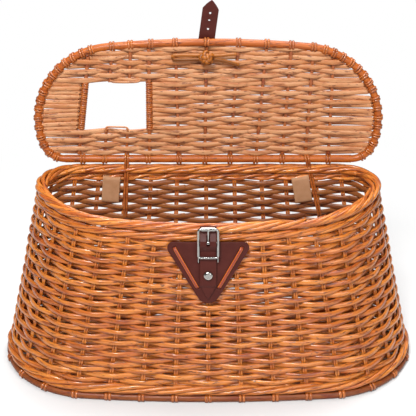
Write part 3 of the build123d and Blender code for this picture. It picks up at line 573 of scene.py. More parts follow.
WORLD_LIGHT = 0.11      # strength of the white air round the creel
FLOOR_GLOW = 0.02       # how much of the near floor's white doesn't depend on the lamps
FAR_FLOOR = (0.14, 0.5)  # from the first to the second distance in metres it grows to all of it
FINISHES = {}


def finish(name):
    """The finish of that name, made on its first use from the colours in the panel."""
    if name in FINISHES:
        return FINISHES[name]
    c = bpy.context.scene.creel_colours
    pale, deep, red, speck = (tuple(v) for v in (c.willow_pale, c.willow_deep, c.willow_red, c.willow_speck))
    cane = tuple(c.cane)
    made = None
    if name == "varnished_willow":
        # Peeled willow under varnish: orange, glossy, with streaks that run along each rod.
        made = willow("willow_rods_varnished", pale, deep, red, speck, 0.4, 0.4)
    elif name == "wall_willow":
        # The wall's weavers: varnished outside, left dull on their inner faces, whose darker brown is partly the bare
        # willow and partly painted shade of the basket's inside.
        made = willow("willow_weavers_varnished_outside_painted_shade_inside", pale, deep, red, speck, 0.36, 0.6, inner=hex_colour("#7a4a2c"))
    elif name == "varnished_willow_stick":
        # The same willow on straight sticks and hoops, whose grain is read from the object.
        made = willow("willow_sticks_varnished", pale, deep, red, speck, 0.34, 0.55, follow=False,
                      grain=(160.0, 160.0, 60.0))
    elif name == "hoop_willow":
        # A thick smooth rod: long calm grain across the creel and a deeper varnish.
        made = willow("willow_hoop_varnished", hex_colour("#c26618"), hex_colour("#aa500e"), hex_colour("#9c4812"), speck, 0.48, 0.1,
                      follow=False, grain=(22.0, 260.0, 260.0))
    elif name == "foot_willow":
        # The foot hoop has darkened to red brown.
        made = willow("willow_foot_varnished", hex_colour("#985018"), hex_colour("#74340f"), red, speck, 0.52, 0.05,
                      follow=False, grain=(30.0, 200.0, 200.0))
    elif name == "pale_willow":
        # Split willow, planed and left matt: pale flat faces between orange edges.
        made = willow("willow_skeins_matt", tuple(c.lid_pale), tuple(c.lid_deep), hex_colour("#b0683c"),
                      hex_colour("#7a3f22"), 0.5, 0.08, edges=hex_colour("#b26028"))
    elif name == "lid_sticks":
        # The lid's stakes: varnished, a darker orange than the skeins, showing in the gaps between them.
        made = willow("willow_lid_sticks", hex_colour("#b86830"), hex_colour("#8f4520"), red, speck, 0.4, 0.3,
                      follow=False, grain=(160.0, 160.0, 60.0))
    elif name == "split_cane":
        # Cane split and wound wet: smooth, glossy, red brown.
        made = willow("cane_bindings_varnished", cane, hex_colour("#a65422"), hex_colour("#8a3e18"), speck, 0.3, 0.5,
                      follow=False, grain=(220.0, 220.0, 220.0))
    elif name == "wound_cane":
        # The same cane where it is wound in many turns, with its grain along the turns.
        made = willow("cane_windings_varnished", cane, hex_colour("#a65422"), hex_colour("#8a3e18"), speck, 0.32, 0.45)
    elif name == "brown_leather":
        # Harness leather, smooth and oiled, dark red brown.
        made = leather("leather_harness_oiled", tuple(c.brown), hex_colour("#56221a"), 0.52)
    elif name == "tan_leather":
        # Undyed leather seen on its flesh side: matt, fibrous and pale.
        made = leather("leather_undyed_flesh", tuple(c.tan), hex_colour("#a67650"), 0.7, 600.0)
    elif name == "shield_thong":
        # Flat thong, orange at its cut edges and rose brown along the middle.
        made = thong("thong_flat_waxed", hex_colour("#8f3d30"), tuple(c.lace))
    elif name == "round_thong":
        # Round thong, golden brown.
        made = thong("thong_round_waxed", hex_colour("#7a4208"), hex_colour("#a86018"))
    elif name == "knot_thong":
        # The knot is wound of the same golden thong with its two colours swapped: each strand is darker down its sides
        # and the core is dark, painted shade between the strands.
        made = thong("thong_knot_waxed_painted_shade", hex_colour("#ae6218"), hex_colour("#7c3f08"))
    elif name == "nickel":
        # Nickel plate on steel wire, bright and slightly warm.
        made = metal("nickel_plate_polished", tuple(c.nickel), hex_colour("#a3a19c"), 0.14)
    elif name == "brass":
        # Rivet brass, dulled by handling.
        made = metal("brass_rivets_dull", hex_colour("#c79a55"), hex_colour("#8f6a3a"), 0.3)
    FINISHES[name] = made
    return made


def dress(name, material):
    """Gives a node of the frame its material."""
    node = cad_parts[name]
    node.data.materials.clear()
    node.data.materials.append(material)
    return node


# ---------------------------------------------------------------- making the weave
def wall_line(counts, level, swing):
    """A line round the wall at a level, with its ways up; swing gives the way out at each count."""
    line, ups = [], []
    for count in counts:
        here, up, out = WALL.frame(count, level(count))
        line.append((here + out * swing(count)) * 0.001)
        ups.append(up)
    return line, ups


def spread(start, end, steps):
    total = max(1, round((end - start) * steps))
    return [start + (end - start) * i / total for i in range(total + 1)]


def weave_wall(sizes):
    """Rows of weavers, each in front of every other stake and behind the rest."""
    chance = random.Random(4)
    bm = rod_bmesh()
    rows = sizes.wall_rows
    whole, closer = WALL_HIGH - WALL_LOW, 0.05
    high, deep, swing = (v * 1000 for v in (sizes.weaver_high, sizes.weaver_deep, sizes.weave_swing))
    around = len(STAKES)
    for row in range(rows):
        first = 2 * chance.randrange(around // 2) + (row + 1) % 2
        lengths = chance.choice(((10, 10, 10), (12, 8, 10), (8, 12, 10)))
        for length in lengths:
            counts = spread(first - 0.3, first + length + 0.3, 8)
            drift, lift = chance.uniform(0, 6.28), chance.uniform(-0.15, 0.15)
            thick = chance.uniform(0.93, 1.05)

            def level(count, row=row, drift=drift, lift=lift):
                share = (row + 0.5) / rows
                share += closer * share * (1 - share)
                return WALL_LOW + whole * share + lift + 0.28 * math.sin(1.9 * count + drift)

            def out(count, row=row):
                return swing * (1 - 0.55 * packed(count, level(count))) * lean_wave(count + row)

            line, ups = wall_line(counts, level, out)
            sizes_here = []
            for count in counts:
                taper = 1.04 - 0.08 * (count - first) / length
                belly = 1.03 - (0.15 - 0.12 * packed(count, level(count))) * abs(math.cos(math.pi * count))
                sizes_here.append(thick * taper * belly)
            add_rod(
                bm, line, ups, [mm(high) * v for v in sizes_here], [mm(deep) * (0.5 + v / 2) for v in sizes_here],
                chance.random(), 10,
            )
            first += length
    return bm


def twist_wale(middle, rod, swing, rise, seed, visible=0.72, period=3, strands=3):
    """Rods that pass outside two stakes, rising to the right, and go back inside the third."""
    chance = random.Random(seed)
    bm = rod_bmesh()
    around = len(STAKES)
    for strand in range(strands):
        start = strand * period / strands
        count = start + period * (1 + visible) / 2
        finish_at = count + around
        while count < finish_at - 0.01:
            length = min(period * chance.choice((2, 3, 4)), finish_at - count)
            counts = spread(count - 0.25, count + length + 0.25, 7)

            def angle(here, start=start):
                share = ((here - start) / period) % 1
                if share < visible:
                    return math.pi * share / visible
                return math.pi * (1 + (share - visible) / (1 - visible))

            line, ups = wall_line(
                counts, lambda c: middle - rise * math.cos(angle(c)), lambda c: swing * math.sin(angle(c))
            )
            thick = chance.uniform(0.9, 1.04)
            add_rod(bm, line, ups, [mm(rod * thick)] * len(line), [mm(rod * thick)] * len(line), chance.random(), 9)
            count += length
    return bm


def roll_border(rod, period=4, strands=5):
    """The plaited border: rods that wind round the mouth, over it and back inside."""
    chance = random.Random(11)
    bm = rod_bmesh()
    middle = (BORDER_LOW + BORDER_HIGH) / 2
    reach, rise = 6.3 - rod, (BORDER_HIGH - BORDER_LOW) / 2 - rod
    around = len(STAKES)
    for strand in range(strands):
        start = strand * period / strands
        count = start + period * 0.6
        finish_at = count + around
        while count < finish_at - 0.01:
            length = min(period * chance.choice((1, 2)), finish_at - count)
            counts = spread(count - 0.4, count + length + 0.4, 7)
            wander = chance.uniform(-0.25, 0.25)

            def angle(here, start=start):
                return 2 * math.pi * (here - start) / period

            line, ups = wall_line(
                counts, lambda c: middle + wander + rise * math.sin(angle(c)), lambda c: reach * math.cos(angle(c))
            )
            thick = [mm(rod) * (1.06 - 0.16 * i / len(line)) for i in range(len(line))]
            add_rod(bm, line, ups, thick, thick, chance.random(), 9)
            count += length
    return bm


def weave_floor():
    """The floor, woven on sticks that run from front to back."""
    chance = random.Random(23)
    bm = rod_bmesh()
    outline = body_outline(FOOT_LEVEL)
    rows = 26
    low, high = FOOT[0] + 6.5, FOOT[1] - 6.0
    up = Vector((0, 1, 0))
    for row in range(rows):
        y = low + (high - low) * row / (rows - 1)
        reach = outline.side_x(-y) - 5.0
        steps = max(8, round(2 * reach / 9))
        line = []
        for i in range(steps + 1):
            x = -reach + 2 * reach * i / steps
            line.append(Vector((mm(x), mm(y), mm(3.85 + 1.3 * math.cos(math.pi * (x / 46.0 + row))))))
        add_rod(bm, line, [up] * len(line), [mm(3.3)] * len(line), [mm(1.05)] * len(line), chance.random(), 6)
    return bm


def stick_x(column, distance, outline):
    """Where a stick of the lid stands at a distance from the rod."""
    near, far = column
    if abs(far) < outline.radii[0] * math.sin(outline.turns[1]):
        index = 0
    else:
        index = 1
    turn = math.asin((abs(far) - outline.centres[index][0]) / outline.radii[index])
    hoop = outline.radii[index] * math.cos(turn) - outline.centres[index][1]
    return near + (far - near) * distance / hoop


def skein_path(stops, swing, first_side, ends):
    """One split rod, as places across and out: past each stop on alternate sides.

    ends says whether each end of the run is tucked in behind the hoop.
    """
    last = len(stops) - 1
    spots = []
    for i, stop in enumerate(stops):
        tucked = (i == 0 and ends[0]) or (i == last and ends[1])
        spots.append((stop, 0.0 if tucked else swing * first_side * (-1) ** i))
    line = []
    for (x, out), (next_x, next_out) in zip(spots, spots[1:]):
        steps = max(4, round((next_x - x) / 3.5))
        for k in range(steps):
            share = k / steps
            wave = 0.5 * (1 - math.cos(math.pi * share)) * 0.6 + 0.4 * share
            line.append((x + (next_x - x) * share, out + (next_out - out) * wave))
    line.append(spots[-1])
    return line


def lid_levels():
    """Distances of the lid's rows from the rod: below, beside and above the window."""
    levels = []
    for rows, low, high in ((6, 7.2, 29.0), (11, 33.6, 78.9), (8, 83.3, 114.9)):
        levels += [low + (high - low) * i / (rows - 1) for i in range(rows)]
    return levels


def weave_lid(sizes):
    """The lid's panel of split willow, broken by the window and its posts."""
    chance = random.Random(8)
    bm = rod_bmesh()
    outline = Outline(*LID)
    high, deep = sizes.skein_high, sizes.skein_deep
    swing = 1.35 + 1000 * deep
    for row, distance in enumerate(lid_levels()):
        edge = outline.side_x(distance) - 2.6
        posts = [stick_x(post, distance, outline) for post in WINDOW_POSTS]
        stakes = [stick_x(stake, distance, outline) for stake in LID_STAKES]
        broken = [stick_x(stake, distance, outline) for stake in WINDOW_STAKES]
        if WINDOW_NEAR < distance < WINDOW_FAR:
            inset = 2.4
            runs = [([-edge, posts[0] - inset], (True, True)), ([posts[1] + inset] + stakes + [edge], (True, True))]
        else:
            runs = [([-edge] + sorted(posts + stakes + broken) + [edge], (True, True))]
        for number, (stops, ends) in enumerate(runs):
            stops = [s for s in stops if abs(s) <= edge - 5.0 or abs(abs(s) - edge) < 1e-6]
            side = 1 if (row + number) % 2 else -1
            path = skein_path(stops, swing, side, ends)
            drift, slant = chance.uniform(0, 6.28), chance.uniform(-1.6, 1.6)
            line, highs = [], []
            for x, out in path:
                near_hoop = max(0.0, 1 - (edge - abs(x)) / 30.0)
                rise = 0.25 * math.sin(0.07 * x + drift) + slant * near_hoop
                if len(stops) == 2:
                    rise += 0.1 * (distance - 66.0) * (1 - (x - stops[0]) / (stops[1] - stops[0]))
                    out += (0.5, -0.5)[row % 2]
                line.append(on_lid(x, distance + rise, out))
                over = min(1.0, abs(out) / swing)
                at_hoop = (0.85 if len(stops) == 2 else 0.62) if abs(abs(x) - edge) < 0.1 else 1.0
                highs.append(high * at_hoop * (0.93 + 0.09 * over + 0.04 * math.sin(0.05 * x + drift)))
            add_rod(bm, line, [LID_UP] * len(line), highs, [deep] * len(line), chance.random(), 8)
    # A thin rod closes the window's upper edge over the ends of its sticks.
    edge_rod = [(-96.0, 83.4), (-92.0, 82.0), (-80.0, 81.7), (-70.0, 82.2), (-66.0, 83.8)]
    line = [on_lid(x, distance, -3.1) for x, distance in smooth(edge_rod, 4)]
    add_rod(bm, line, [LID_UP] * len(line), [mm(1.3)] * len(line), [mm(1.0)] * len(line), 0.6, 8)
    # A weaver's end left as a small staple on the window's lower edge.
    staple = [(-101.5, 29.6), (-101.2, 33.4), (-99.6, 34.8), (-91.0, 34.8), (-83.5, 34.6), (-80.2, 33.6), (-79.6, 29.6)]
    line = [on_lid(x, distance, -2.6) for x, distance in smooth(staple, 3)]
    add_rod(bm, line, [LID_BACK * -1.0] * len(line), [mm(0.9)] * len(line), [mm(0.9)] * len(line), 0.75, 6)
    return bm


def smooth(points, steps):
    """More points through the given ones, on a Catmull-Rom line."""
    if steps < 2:
        return points
    made = []
    ends = [points[0]] + list(points) + [points[-1]]
    for i in range(1, len(ends) - 2):
        p0, p1, p2, p3 = ends[i - 1:i + 3]
        for k in range(steps):
            t = k / steps
            made.append(tuple(
                0.5 * ((2 * b) + (c - a) * t + (2 * a - 5 * b + 4 * c - d) * t**2 + (3 * b - a - 3 * c + d) * t**3)
                for a, b, c, d in zip(p0, p1, p2, p3)
            ))
    made.append(tuple(points[-1]))
    return made


def add_turn(bm, centre, axis, radius, high, deep, tone, low=0.0, reach=2 * math.pi, start=None, sides=6):
    """One turn of cane round a rod, or part of one from a given start."""
    axis = axis.normalized()
    first = start or axis.orthogonal()
    first = (first - axis * first.dot(axis)).normalized()
    second = axis.cross(first)
    whole = reach > 6.2
    steps = 16 if whole else 9
    line = []
    for i in range(steps + 1):
        turn = low + reach * i / steps
        line.append(centre + (first * math.cos(turn) + second * math.sin(turn)) * radius)
    add_rod(bm, line, [axis] * len(line), [high] * len(line), [deep] * len(line), tone, sides, (not whole, not whole))


def foot_turns():
    """Two turns of cane at every stake, over the outside of the foot hoop."""
    chance = random.Random(31)
    bm = rod_bmesh()
    outline = body_outline(FOOT_LEVEL)
    for count in range(len(STAKES)):
        here = WALL.flat(way_at(count), FOOT_LEVEL)
        ahead = WALL.flat(way_at(count) + 0.5, FOOT_LEVEL)
        along = (ahead - here).normalized()
        out = along.cross(Vector((0, 0, 1)))
        tone = chance.random()
        for shift in (-1, 1):
            centre = (here + along * shift * 1.75) * 0.001
            add_turn(bm, centre, along, mm(3.9), mm(1.65), mm(0.75), tone, math.radians(-128), math.radians(170), out)
    return bm


def lid_turns():
    """Double turns of cane on the rod and on the hoop, at the ends of the lid's stakes."""
    chance = random.Random(37)
    bm = rod_bmesh()
    outline = Outline(*LID)
    across = Vector((1, 0, 0))
    for x in (-125.6, -103.7, -60.1, -29.2, -3.4, 21.9, 47.5, 74.0, 120.2):
        tone = chance.random()
        for shift in (-1.45, 1.45):
            add_turn(bm, on_lid(x + shift, 0, 0), across, mm(4.4), mm(1.3), mm(0.8), tone)
    for x in (-93.1, -75.3, -55.4, -31.9, -1.5, 29.2, 56.9, 80.7, 102.2):
        tone = chance.random()
        turn = math.asin((abs(x) - outline.centres[0][0]) / outline.radii[0])
        index = 0
        if turn > outline.turns[1]:
            index, turn = 1, math.asin((abs(x) - outline.centres[1][0]) / outline.radii[1])
        y = outline.centres[index][1] - outline.radii[index] * math.cos(turn)
        along_x, along_y = math.cos(turn), math.copysign(math.sin(turn), x)
        along = on_lid(along_x, -along_y, 0) - on_lid(0, 0, 0)
        for shift in (-1.45, 1.45):
            centre = on_lid(x + shift * along_x, -y - shift * along_y, 0)
            add_turn(bm, centre, along, mm(4.15), mm(1.3), mm(0.8), tone)
    return bm


def end_turns(cane):
    """Cane wound on the hoop round both ends of the lid."""
    chance = random.Random(41)
    bm = rod_bmesh()
    outline = Outline(*LID)
    for side in (1, -1):
        high = sum(outline.lengths[:3]) - 5.0
        pair = 100.0
        while outline.walk(pair)[0] < 113.0:
            pair += 1.0
        while pair < high:
            tone, slant = chance.random(), chance.uniform(-0.2, 0.2)
            for way in (pair - 1.25, pair + 1.25):
                (x, y), (ahead_x, ahead_y) = outline.walk(way), outline.walk(way + 0.5)
                centre = on_lid(side * x, -y, 0)
                along = on_lid(side * ahead_x, -ahead_y, 0) - centre
                along = along + LID_BACK * along.length * slant
                add_turn(bm, centre, along, mm(4.3), cane, mm(0.75), tone)
            pair += chance.uniform(8.6, 10.2)
    return bm


def post_turns(cane):
    """Cane wound close on both posts of the window."""
    chance = random.Random(43)
    bm = rod_bmesh()
    outline = Outline(*LID)
    for post in WINDOW_POSTS:
        distance = WINDOW_NEAR + 1.2
        while distance < WINDOW_FAR - 1.0:
            centre = on_lid(stick_x(post, distance, outline), distance, 0)
            along = on_lid(stick_x(post, distance + 1, outline), distance + 1, 0) - centre
            along = along + Vector((along.length * chance.uniform(0.02, 0.16), 0, 0))
            add_turn(bm, centre, along, mm(2.8), cane, mm(0.8), chance.random())
            distance += 2.25
    return bm


# ---------------------------------------------------------------- leather and thongs
def copied(names):
    """The given nodes' meshes in one bmesh, with their loose triangles joined."""
    bm = bmesh.new()
    for name in names:
        bm.from_mesh(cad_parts[name].data)
    bmesh.ops.remove_doubles(bm, verts=bm.verts, dist=1e-6)
    return bm


def add_block(bm, corner, across, along, thick):
    """A six-sided block at a corner, with three edges, to close a gap between two nodes."""
    made = bmesh.ops.create_cube(bm, size=1.0)["verts"]
    for vert in made:
        a, b, c = (value + 0.5 for value in vert.co)
        vert.co = corner + across * a + along * b + thick * c
    return made


def worn(name, bm, voxel, rounds):
    """Leather with its edges rounded by use: remeshed at the given size, then smoothed."""
    mesh = bpy.data.meshes.new(name + "_raw")
    bm.to_mesh(mesh)
    bm.free()
    raw = bpy.data.objects.new(name + "_raw", mesh)
    bpy.context.scene.collection.objects.link(raw)
    remesh = raw.modifiers.new("voxels", "REMESH")
    remesh.mode = "VOXEL"
    remesh.voxel_size = voxel
    remesh.adaptivity = 0.0
    graph = bpy.context.evaluated_depsgraph_get()
    made = bpy.data.meshes.new_from_object(raw.evaluated_get(graph), depsgraph=graph)
    bpy.data.objects.remove(raw)
    bpy.data.meshes.remove(mesh)
    result = bmesh.new()
    result.from_mesh(made)
    bpy.data.meshes.remove(made)
    for _ in range(rounds):
        bmesh.ops.smooth_vert(
            result, verts=result.verts, factor=0.5, use_axis_x=True, use_axis_y=True, use_axis_z=True
        )
    for face in result.faces:
        face.smooth = True
    return result


def flat_thong(points, out, width, thickness, tone):
    """A thong through the given points, its flat side turned out."""
    bm = rod_bmesh()
    ways = [(points[min(i + 1, len(points) - 1)] - points[max(i - 1, 0)]).normalized() for i in range(len(points))]
    middle = ways[len(ways) // 2]
    up = out.cross(middle).normalized()
    add_rod(bm, points, [up] * len(points), [width / 2] * len(points), [thickness / 2] * len(points), tone, 12)
    return bm


def turks_head(centre, across, up, face, radius, thickness):
    """A wound knot: one thong laid round and round in three leads and five bights."""
    bm = rod_bmesh()
    leads, bights = 3, 5
    steps = 220
    line, ups = [], []
    for i in range(steps + 1):
        turn = 2 * math.pi * leads * i / steps
        wave = bights * turn / leads
        tilt = math.radians(52) + math.radians(36) * math.cos(wave)
        shell = radius - thickness + thickness * 0.55 * math.sin(2 * wave)
        way = (across * math.cos(turn) + up * math.sin(turn)) * math.sin(tilt) + face * math.cos(tilt)
        line.append(centre + way * shell)
        ups.append(way)
    sides_up = []
    for i in range(len(line)):
        along = (line[min(i + 1, steps)] - line[max(i - 1, 0)]).normalized()
        sides_up.append(ups[i].cross(along).normalized())
    add_rod(
        bm, line, sides_up, [thickness] * len(line), [thickness * 0.75] * len(line), 0.4, 8, (False, False)
    )
    # The core ball gets the knot's darker colour: painted shade in the gaps between the strands.
    core = bmesh.ops.create_icosphere(bm, subdivisions=3, radius=radius - thickness * 1.1)["verts"]
    for vert in core:
        vert.co += centre
    return bm


# ---------------------------------------------------------------- operators
def sizes():
    return bpy.context.scene.creel_sizes


class CREEL_OT_wall(bpy.types.Operator):
    """Weave the wall between the two wales"""

    bl_idname = "creel.wall"
    bl_label = "Weave the wall"

    def execute(self, context):
        new_piece("woven_wall", weave_wall(sizes()), finish("wall_willow"), "basket",
                  ["side_wall"])
        return {"FINISHED"}


class CREEL_OT_wales(bpy.types.Operator):
    """Twist the wales at the foot and under the border"""

    bl_idname = "creel.wales"
    bl_label = "Twist the wales"

    def execute(self, context):
        low = twist_wale((WALE_LOW + WALL_LOW) / 2 + 0.2, sizes().wale_rod * 1000, 2.9, 3.1, 5)
        new_piece("foot_wale", low, finish("varnished_willow"), "basket", ["bottom_wale"])
        high = twist_wale((WALL_HIGH + BORDER_LOW) / 2, sizes().top_wale_rod * 1000, 2.2, 2.2, 6)
        new_piece("rim_wale", high, finish("varnished_willow"), "basket", ["top_wale"])
        return {"FINISHED"}


class CREEL_OT_border(bpy.types.Operator):
    """Plait the border round the mouth"""

    bl_idname = "creel.border"
    bl_label = "Plait the border"

    def execute(self, context):
        new_piece("plaited_border", roll_border(sizes().border_rod * 1000), finish("varnished_willow"), "basket",
                  ["top_border"])
        return {"FINISHED"}


class CREEL_OT_floor(bpy.types.Operator):
    """Weave the floor inside the foot hoop"""

    bl_idname = "creel.floor"
    bl_label = "Weave the floor"

    def execute(self, context):
        new_piece("woven_floor", weave_floor(), finish("varnished_willow"), "basket",
                  ["base_panel"])
        return {"FINISHED"}


class CREEL_OT_lid_panel(bpy.types.Operator):
    """Weave the lid's panel round its window"""

    bl_idname = "creel.lid_panel"
    bl_label = "Weave the lid"

    def execute(self, context):
        new_piece("woven_lid", weave_lid(sizes()), finish("pale_willow"), "lid", ["lid_weave"])
        return {"FINISHED"}


class CREEL_OT_windings(bpy.types.Operator):
    """Wind cane on the foot hoop, the lid's rod and hoop, and the window's posts"""

    bl_idname = "creel.windings"
    bl_label = "Wind the cane"

    def execute(self, context):
        cane = sizes().cane
        wound = finish("wound_cane")
        new_piece("foot_bindings", foot_turns(), wound, "basket", ["base_bindings"])
        new_piece("rod_and_hoop_bindings", lid_turns(), wound, "lid", ["lid_bindings"])
        new_piece("hoop_end_winding", end_turns(cane), wound, "lid", ["lid_end_wraps"])
        new_piece("post_winding", post_turns(cane), wound, "lid", ["window_post_wraps"])
        return {"FINISHED"}


class CREEL_OT_sticks(bpy.types.Operator):
    """Finish the hoops, sticks and hinge canes that the frame already has"""

    bl_idname = "creel.sticks"
    bl_label = "Finish the sticks"

    def execute(self, context):
        dress("base_hoop", finish("foot_willow"))
        dress("side_stakes", finish("varnished_willow_stick"))
        dress("base_sticks", finish("varnished_willow_stick"))
        for name in ("lid_back_rod", "lid_hoop"):
            dress(name, finish("hoop_willow"))
        for name in ("lid_stakes", "window_posts"):
            dress(name, finish("lid_sticks"))
        for name in ("hinge_loop_left", "hinge_loop_right"):
            dress(name, finish("split_cane"))
        return {"FINISHED"}


class CREEL_OT_leather(bpy.types.Operator):
    """Cut the shield, the straps and the back loops from leather"""

    bl_idname = "creel.leather"
    bl_label = "Cut the leather"

    def execute(self, context):
        brown = finish("brown_leather")
        new_piece("shield_leather", worn("shield", copied(["buckle_shield"]), mm(0.5), 2), brown, "basket",
                  ["buckle_shield"])
        bm = copied(["buckle_tab", "buckle_tab_upper"])
        ply_low = 6.6 * math.cos(FRONT_LEAN) + 0.1
        corner = on_front(-7.7, 143.3, ply_low)
        across = Vector((mm(15.4), 0, 0))
        along = on_front(0, 147.3, 0) - on_front(0, 143.3, 0)
        thick = on_front(0, 0, 3.2) - on_front(0, 0, 0)
        add_block(bm, corner, across, along, thick)
        tab = new_piece("buckle_strap", worn("tab", bm, mm(0.3), 2), brown, None,
                        ["buckle_tab", "buckle_tab_upper"])
        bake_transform(tab, "basket", "buckle", start=tuple(on_front(0, 143.8, ply_low + 1.6)),
                 end=tuple(on_front(0, 146.8, ply_low + 1.6)))
        bm = copied(["lid_strap_base", "lid_strap_end"])
        lean = math.radians(7.6)

        def strap(across_it, distance, out):
            y = 125.0 - distance
            x = -1.25 + across_it * math.cos(lean) - y * math.sin(lean)
            return on_lid(x, 125.0 - (across_it * math.sin(lean) + y * math.cos(lean)), out)

        corner = strap(-7.9, 136.0, 4.6)
        add_block(bm, corner, strap(7.9, 136.0, 4.6) - corner, strap(-7.9, 141.2, 4.6) - corner,
                  strap(-7.9, 136.0, 6.6) - corner)
        piece = new_piece("lid_strap_leather", worn("strap", bm, mm(0.33), 2), brown, None,
                          ["lid_strap_base", "lid_strap_end"])
        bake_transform(piece, "lid", "lid_strap", start=tuple(on_lid(0, 137.4, 5.6)), end=tuple(on_lid(0, 139.8, 5.6)))
        for side in ("left", "right"):
            node = "back_strap_" + side
            new_piece("back_loop_" + side, worn(node, copied([node]), mm(0.45), 2), finish("tan_leather"), "basket",
                      [node])
        return {"FINISHED"}


class CREEL_OT_thongs(bpy.types.Operator):
    """Lace the shield to the wall, and the strap to the lid with its knot"""

    bl_idname = "creel.thongs"
    bl_label = "Lace the thongs"

    def execute(self, context):
        out = (on_front(0, 0, 1) - on_front(0, 0, 0)).normalized()
        for side, name in ((-1, "left"), (1, "right")):
            high = (side * 31.4, 156.7, 6.6 * math.cos(FRONT_LEAN) + 1.2 - 0.99)
            low = (side * 9.8, 117.2, 6.6 * math.cos(FRONT_LEAN) + 1.2 - 0.07)
            drawn = [on_front(high[0], high[1], -3.0), on_front(high[0], high[1], high[2] - 2.2)]
            for share in (0.0, 0.02, 0.05, 0.15, 0.3, 0.5, 0.7, 0.85, 0.95, 0.98, 1.0):
                spot = [a + (b - a) * (0.01 + 0.98 * share) for a, b in zip(high, low)]
                spot[2] -= 1.5 * max(0.0, 1 - min(share, 1 - share) / 0.04) ** 2
                drawn.append(on_front(*spot))
            drawn += [on_front(low[0], low[1], low[2] - 2.2), on_front(low[0], low[1], -3.0)]
            bm = flat_thong(drawn, out, mm(2.9), mm(1.7), 0.3)
            new_piece("shield_thong_" + name, bm, finish("shield_thong"), "basket",
                      ["shield_lace_" + name])
        bm = rod_bmesh()
        level = -6.7
        turn = [(27.2, 2.9), (20.0, 2.5), (12.0, 1.8), (4.0, 1.7), (-8.0, 1.75), (-20.0, 1.9), (-30.5, 1.9),
                (-33.2, 1.6), (-34.6, 0.0), (-33.2, -1.6), (-30.5, -1.9), (-20.0, -1.9), (-8.0, -1.75),
                (4.0, -1.8), (12.0, -2.5), (20.0, -4.2), (30.1, -7.0)]
        line = [on_lid(x, KNOT[1] + 1.15 * rise, level) for x, rise in smooth(turn, 4)]
        add_rod(bm, line, [LID_UP] * len(line), [mm(1.65)] * len(line), [mm(1.5)] * len(line), 0.5, 10)
        stitch = [(-5.8, -4.2), (-5.8, 5.2), (-5.2, 7.6), (-3.6, 8.6), (-1.6, 8.75), (0.4, 8.6), (2.0, 7.6), (2.6, 5.2),
                  (2.6, -4.2)]
        line = [on_lid(x, KNOT[1], out) for x, out in smooth(stitch, 3)]
        add_rod(bm, line, [LID_UP] * len(line), [mm(1.5)] * len(line), [mm(1.5)] * len(line), 0.5, 10)
        new_piece("strap_thong", bm, finish("round_thong"), "lid", ["lid_strap_lace"])
        knot = turks_head(on_lid(*KNOT, -8.4), Vector((1, 0, 0)), LID_UP, LID_BACK * -1.0, mm(7.4), mm(2.45))
        new_piece("thong_knot", knot, finish("knot_thong"), "lid", ["lid_strap_knot"])
        return {"FINISHED"}


class CREEL_OT_fittings(bpy.types.Operator):
    """Finish the buckle, its roller and tongue, the keeper and the rivets"""

    bl_idname = "creel.fittings"
    bl_label = "Finish the fittings"

    def execute(self, context):
        for name in ("buckle_frame", "buckle_roller", "buckle_tongue", "keeper_staple", "strap_rivet"):
            dress(name, finish("nickel"))
        for name in ("rivet_washer", "back_strap_rivets"):
            dress(name, finish("brass"))
        return {"FINISHED"}


class CREEL_OT_stage(bpy.types.Operator):
    """Set the white floor, soft lamps and the camera"""

    bl_idname = "creel.stage"
    bl_label = "Set the stage"

    def execute(self, context):
        scene = bpy.context.scene
        bm = bmesh.new()
        bmesh.ops.create_grid(bm, x_segments=4, y_segments=4, size=6.0)
        mesh = bpy.data.meshes.new("studio_floor")
        bm.to_mesh(mesh)
        bm.free()
        floor = bpy.data.objects.new("studio_floor", mesh)
        scene.collection.objects.link(floor)
        mesh.materials.append(floor_paper())
        world = bpy.data.worlds.new("studio_air")
        world.use_nodes = True
        tree = world.node_tree
        tree.nodes.clear()
        seen = seen_by_eye(tree, glossy=False)
        strength = add_node(tree, "ShaderNodeMapRange", None, {0: seen, 3: WORLD_LIGHT, 4: 1.0}).outputs[0]
        back = add_node(tree, "ShaderNodeBackground", None, {"Color": (1, 1, 1, 1), "Strength": strength})
        add_node(tree, "ShaderNodeOutputWorld", None, {"Surface": back.outputs[0]})
        scene.world = world
        for name, place, size, watts in (
            ("key_softbox", (-0.35, -1.05, 1.65), 0.5, 35.0),
            ("fill_softbox", (0.9, -1.5, 0.9), 1.0, 11.0),
            ("top_softbox", (0.15, 0.7, 1.8), 0.9, 33.0),
        ):
            lamp = bpy.data.lights.new(name, "AREA")
            lamp.size = size
            lamp.energy = watts
            light = bpy.data.objects.new(name, lamp)
            scene.collection.objects.link(light)
            light.location = place
            light.rotation_euler = (Vector((0, 0, 0.1)) - Vector(place)).to_track_quat("-Z", "Y").to_euler()
        lens = bpy.data.cameras.new("photo_camera")
        lens.lens = 120.26
        lens.sensor_width = 36.0
        lens.shift_x = -0.2 / 416
        lens.clip_end = 50.0
        camera = bpy.data.objects.new("photo_camera", lens)
        scene.collection.objects.link(camera)
        camera.location = (0.0, -1.1772, 0.8172)
        camera.rotation_euler = (math.radians(61.0), 0.0, 0.0)
        scene.camera = camera
        scene.view_settings.view_transform = "Standard"
        return {"FINISHED"}


def seen_by_eye(tree, glossy=True):
    """1 for what the camera sees straight, through glass, or also in a reflection, otherwise 0."""
    path = add_node(tree, "ShaderNodeLightPath")
    first = add_node(tree, "ShaderNodeMath", {"operation": "MAXIMUM"},
                     {0: path.outputs["Is Camera Ray"], 1: path.outputs["Is Transmission Ray"]}).outputs[0]
    if not glossy:
        return first
    return add_node(tree, "ShaderNodeMath", {"operation": "MAXIMUM"},
                    {0: first, 1: path.outputs["Is Glossy Ray"]}).outputs[0]


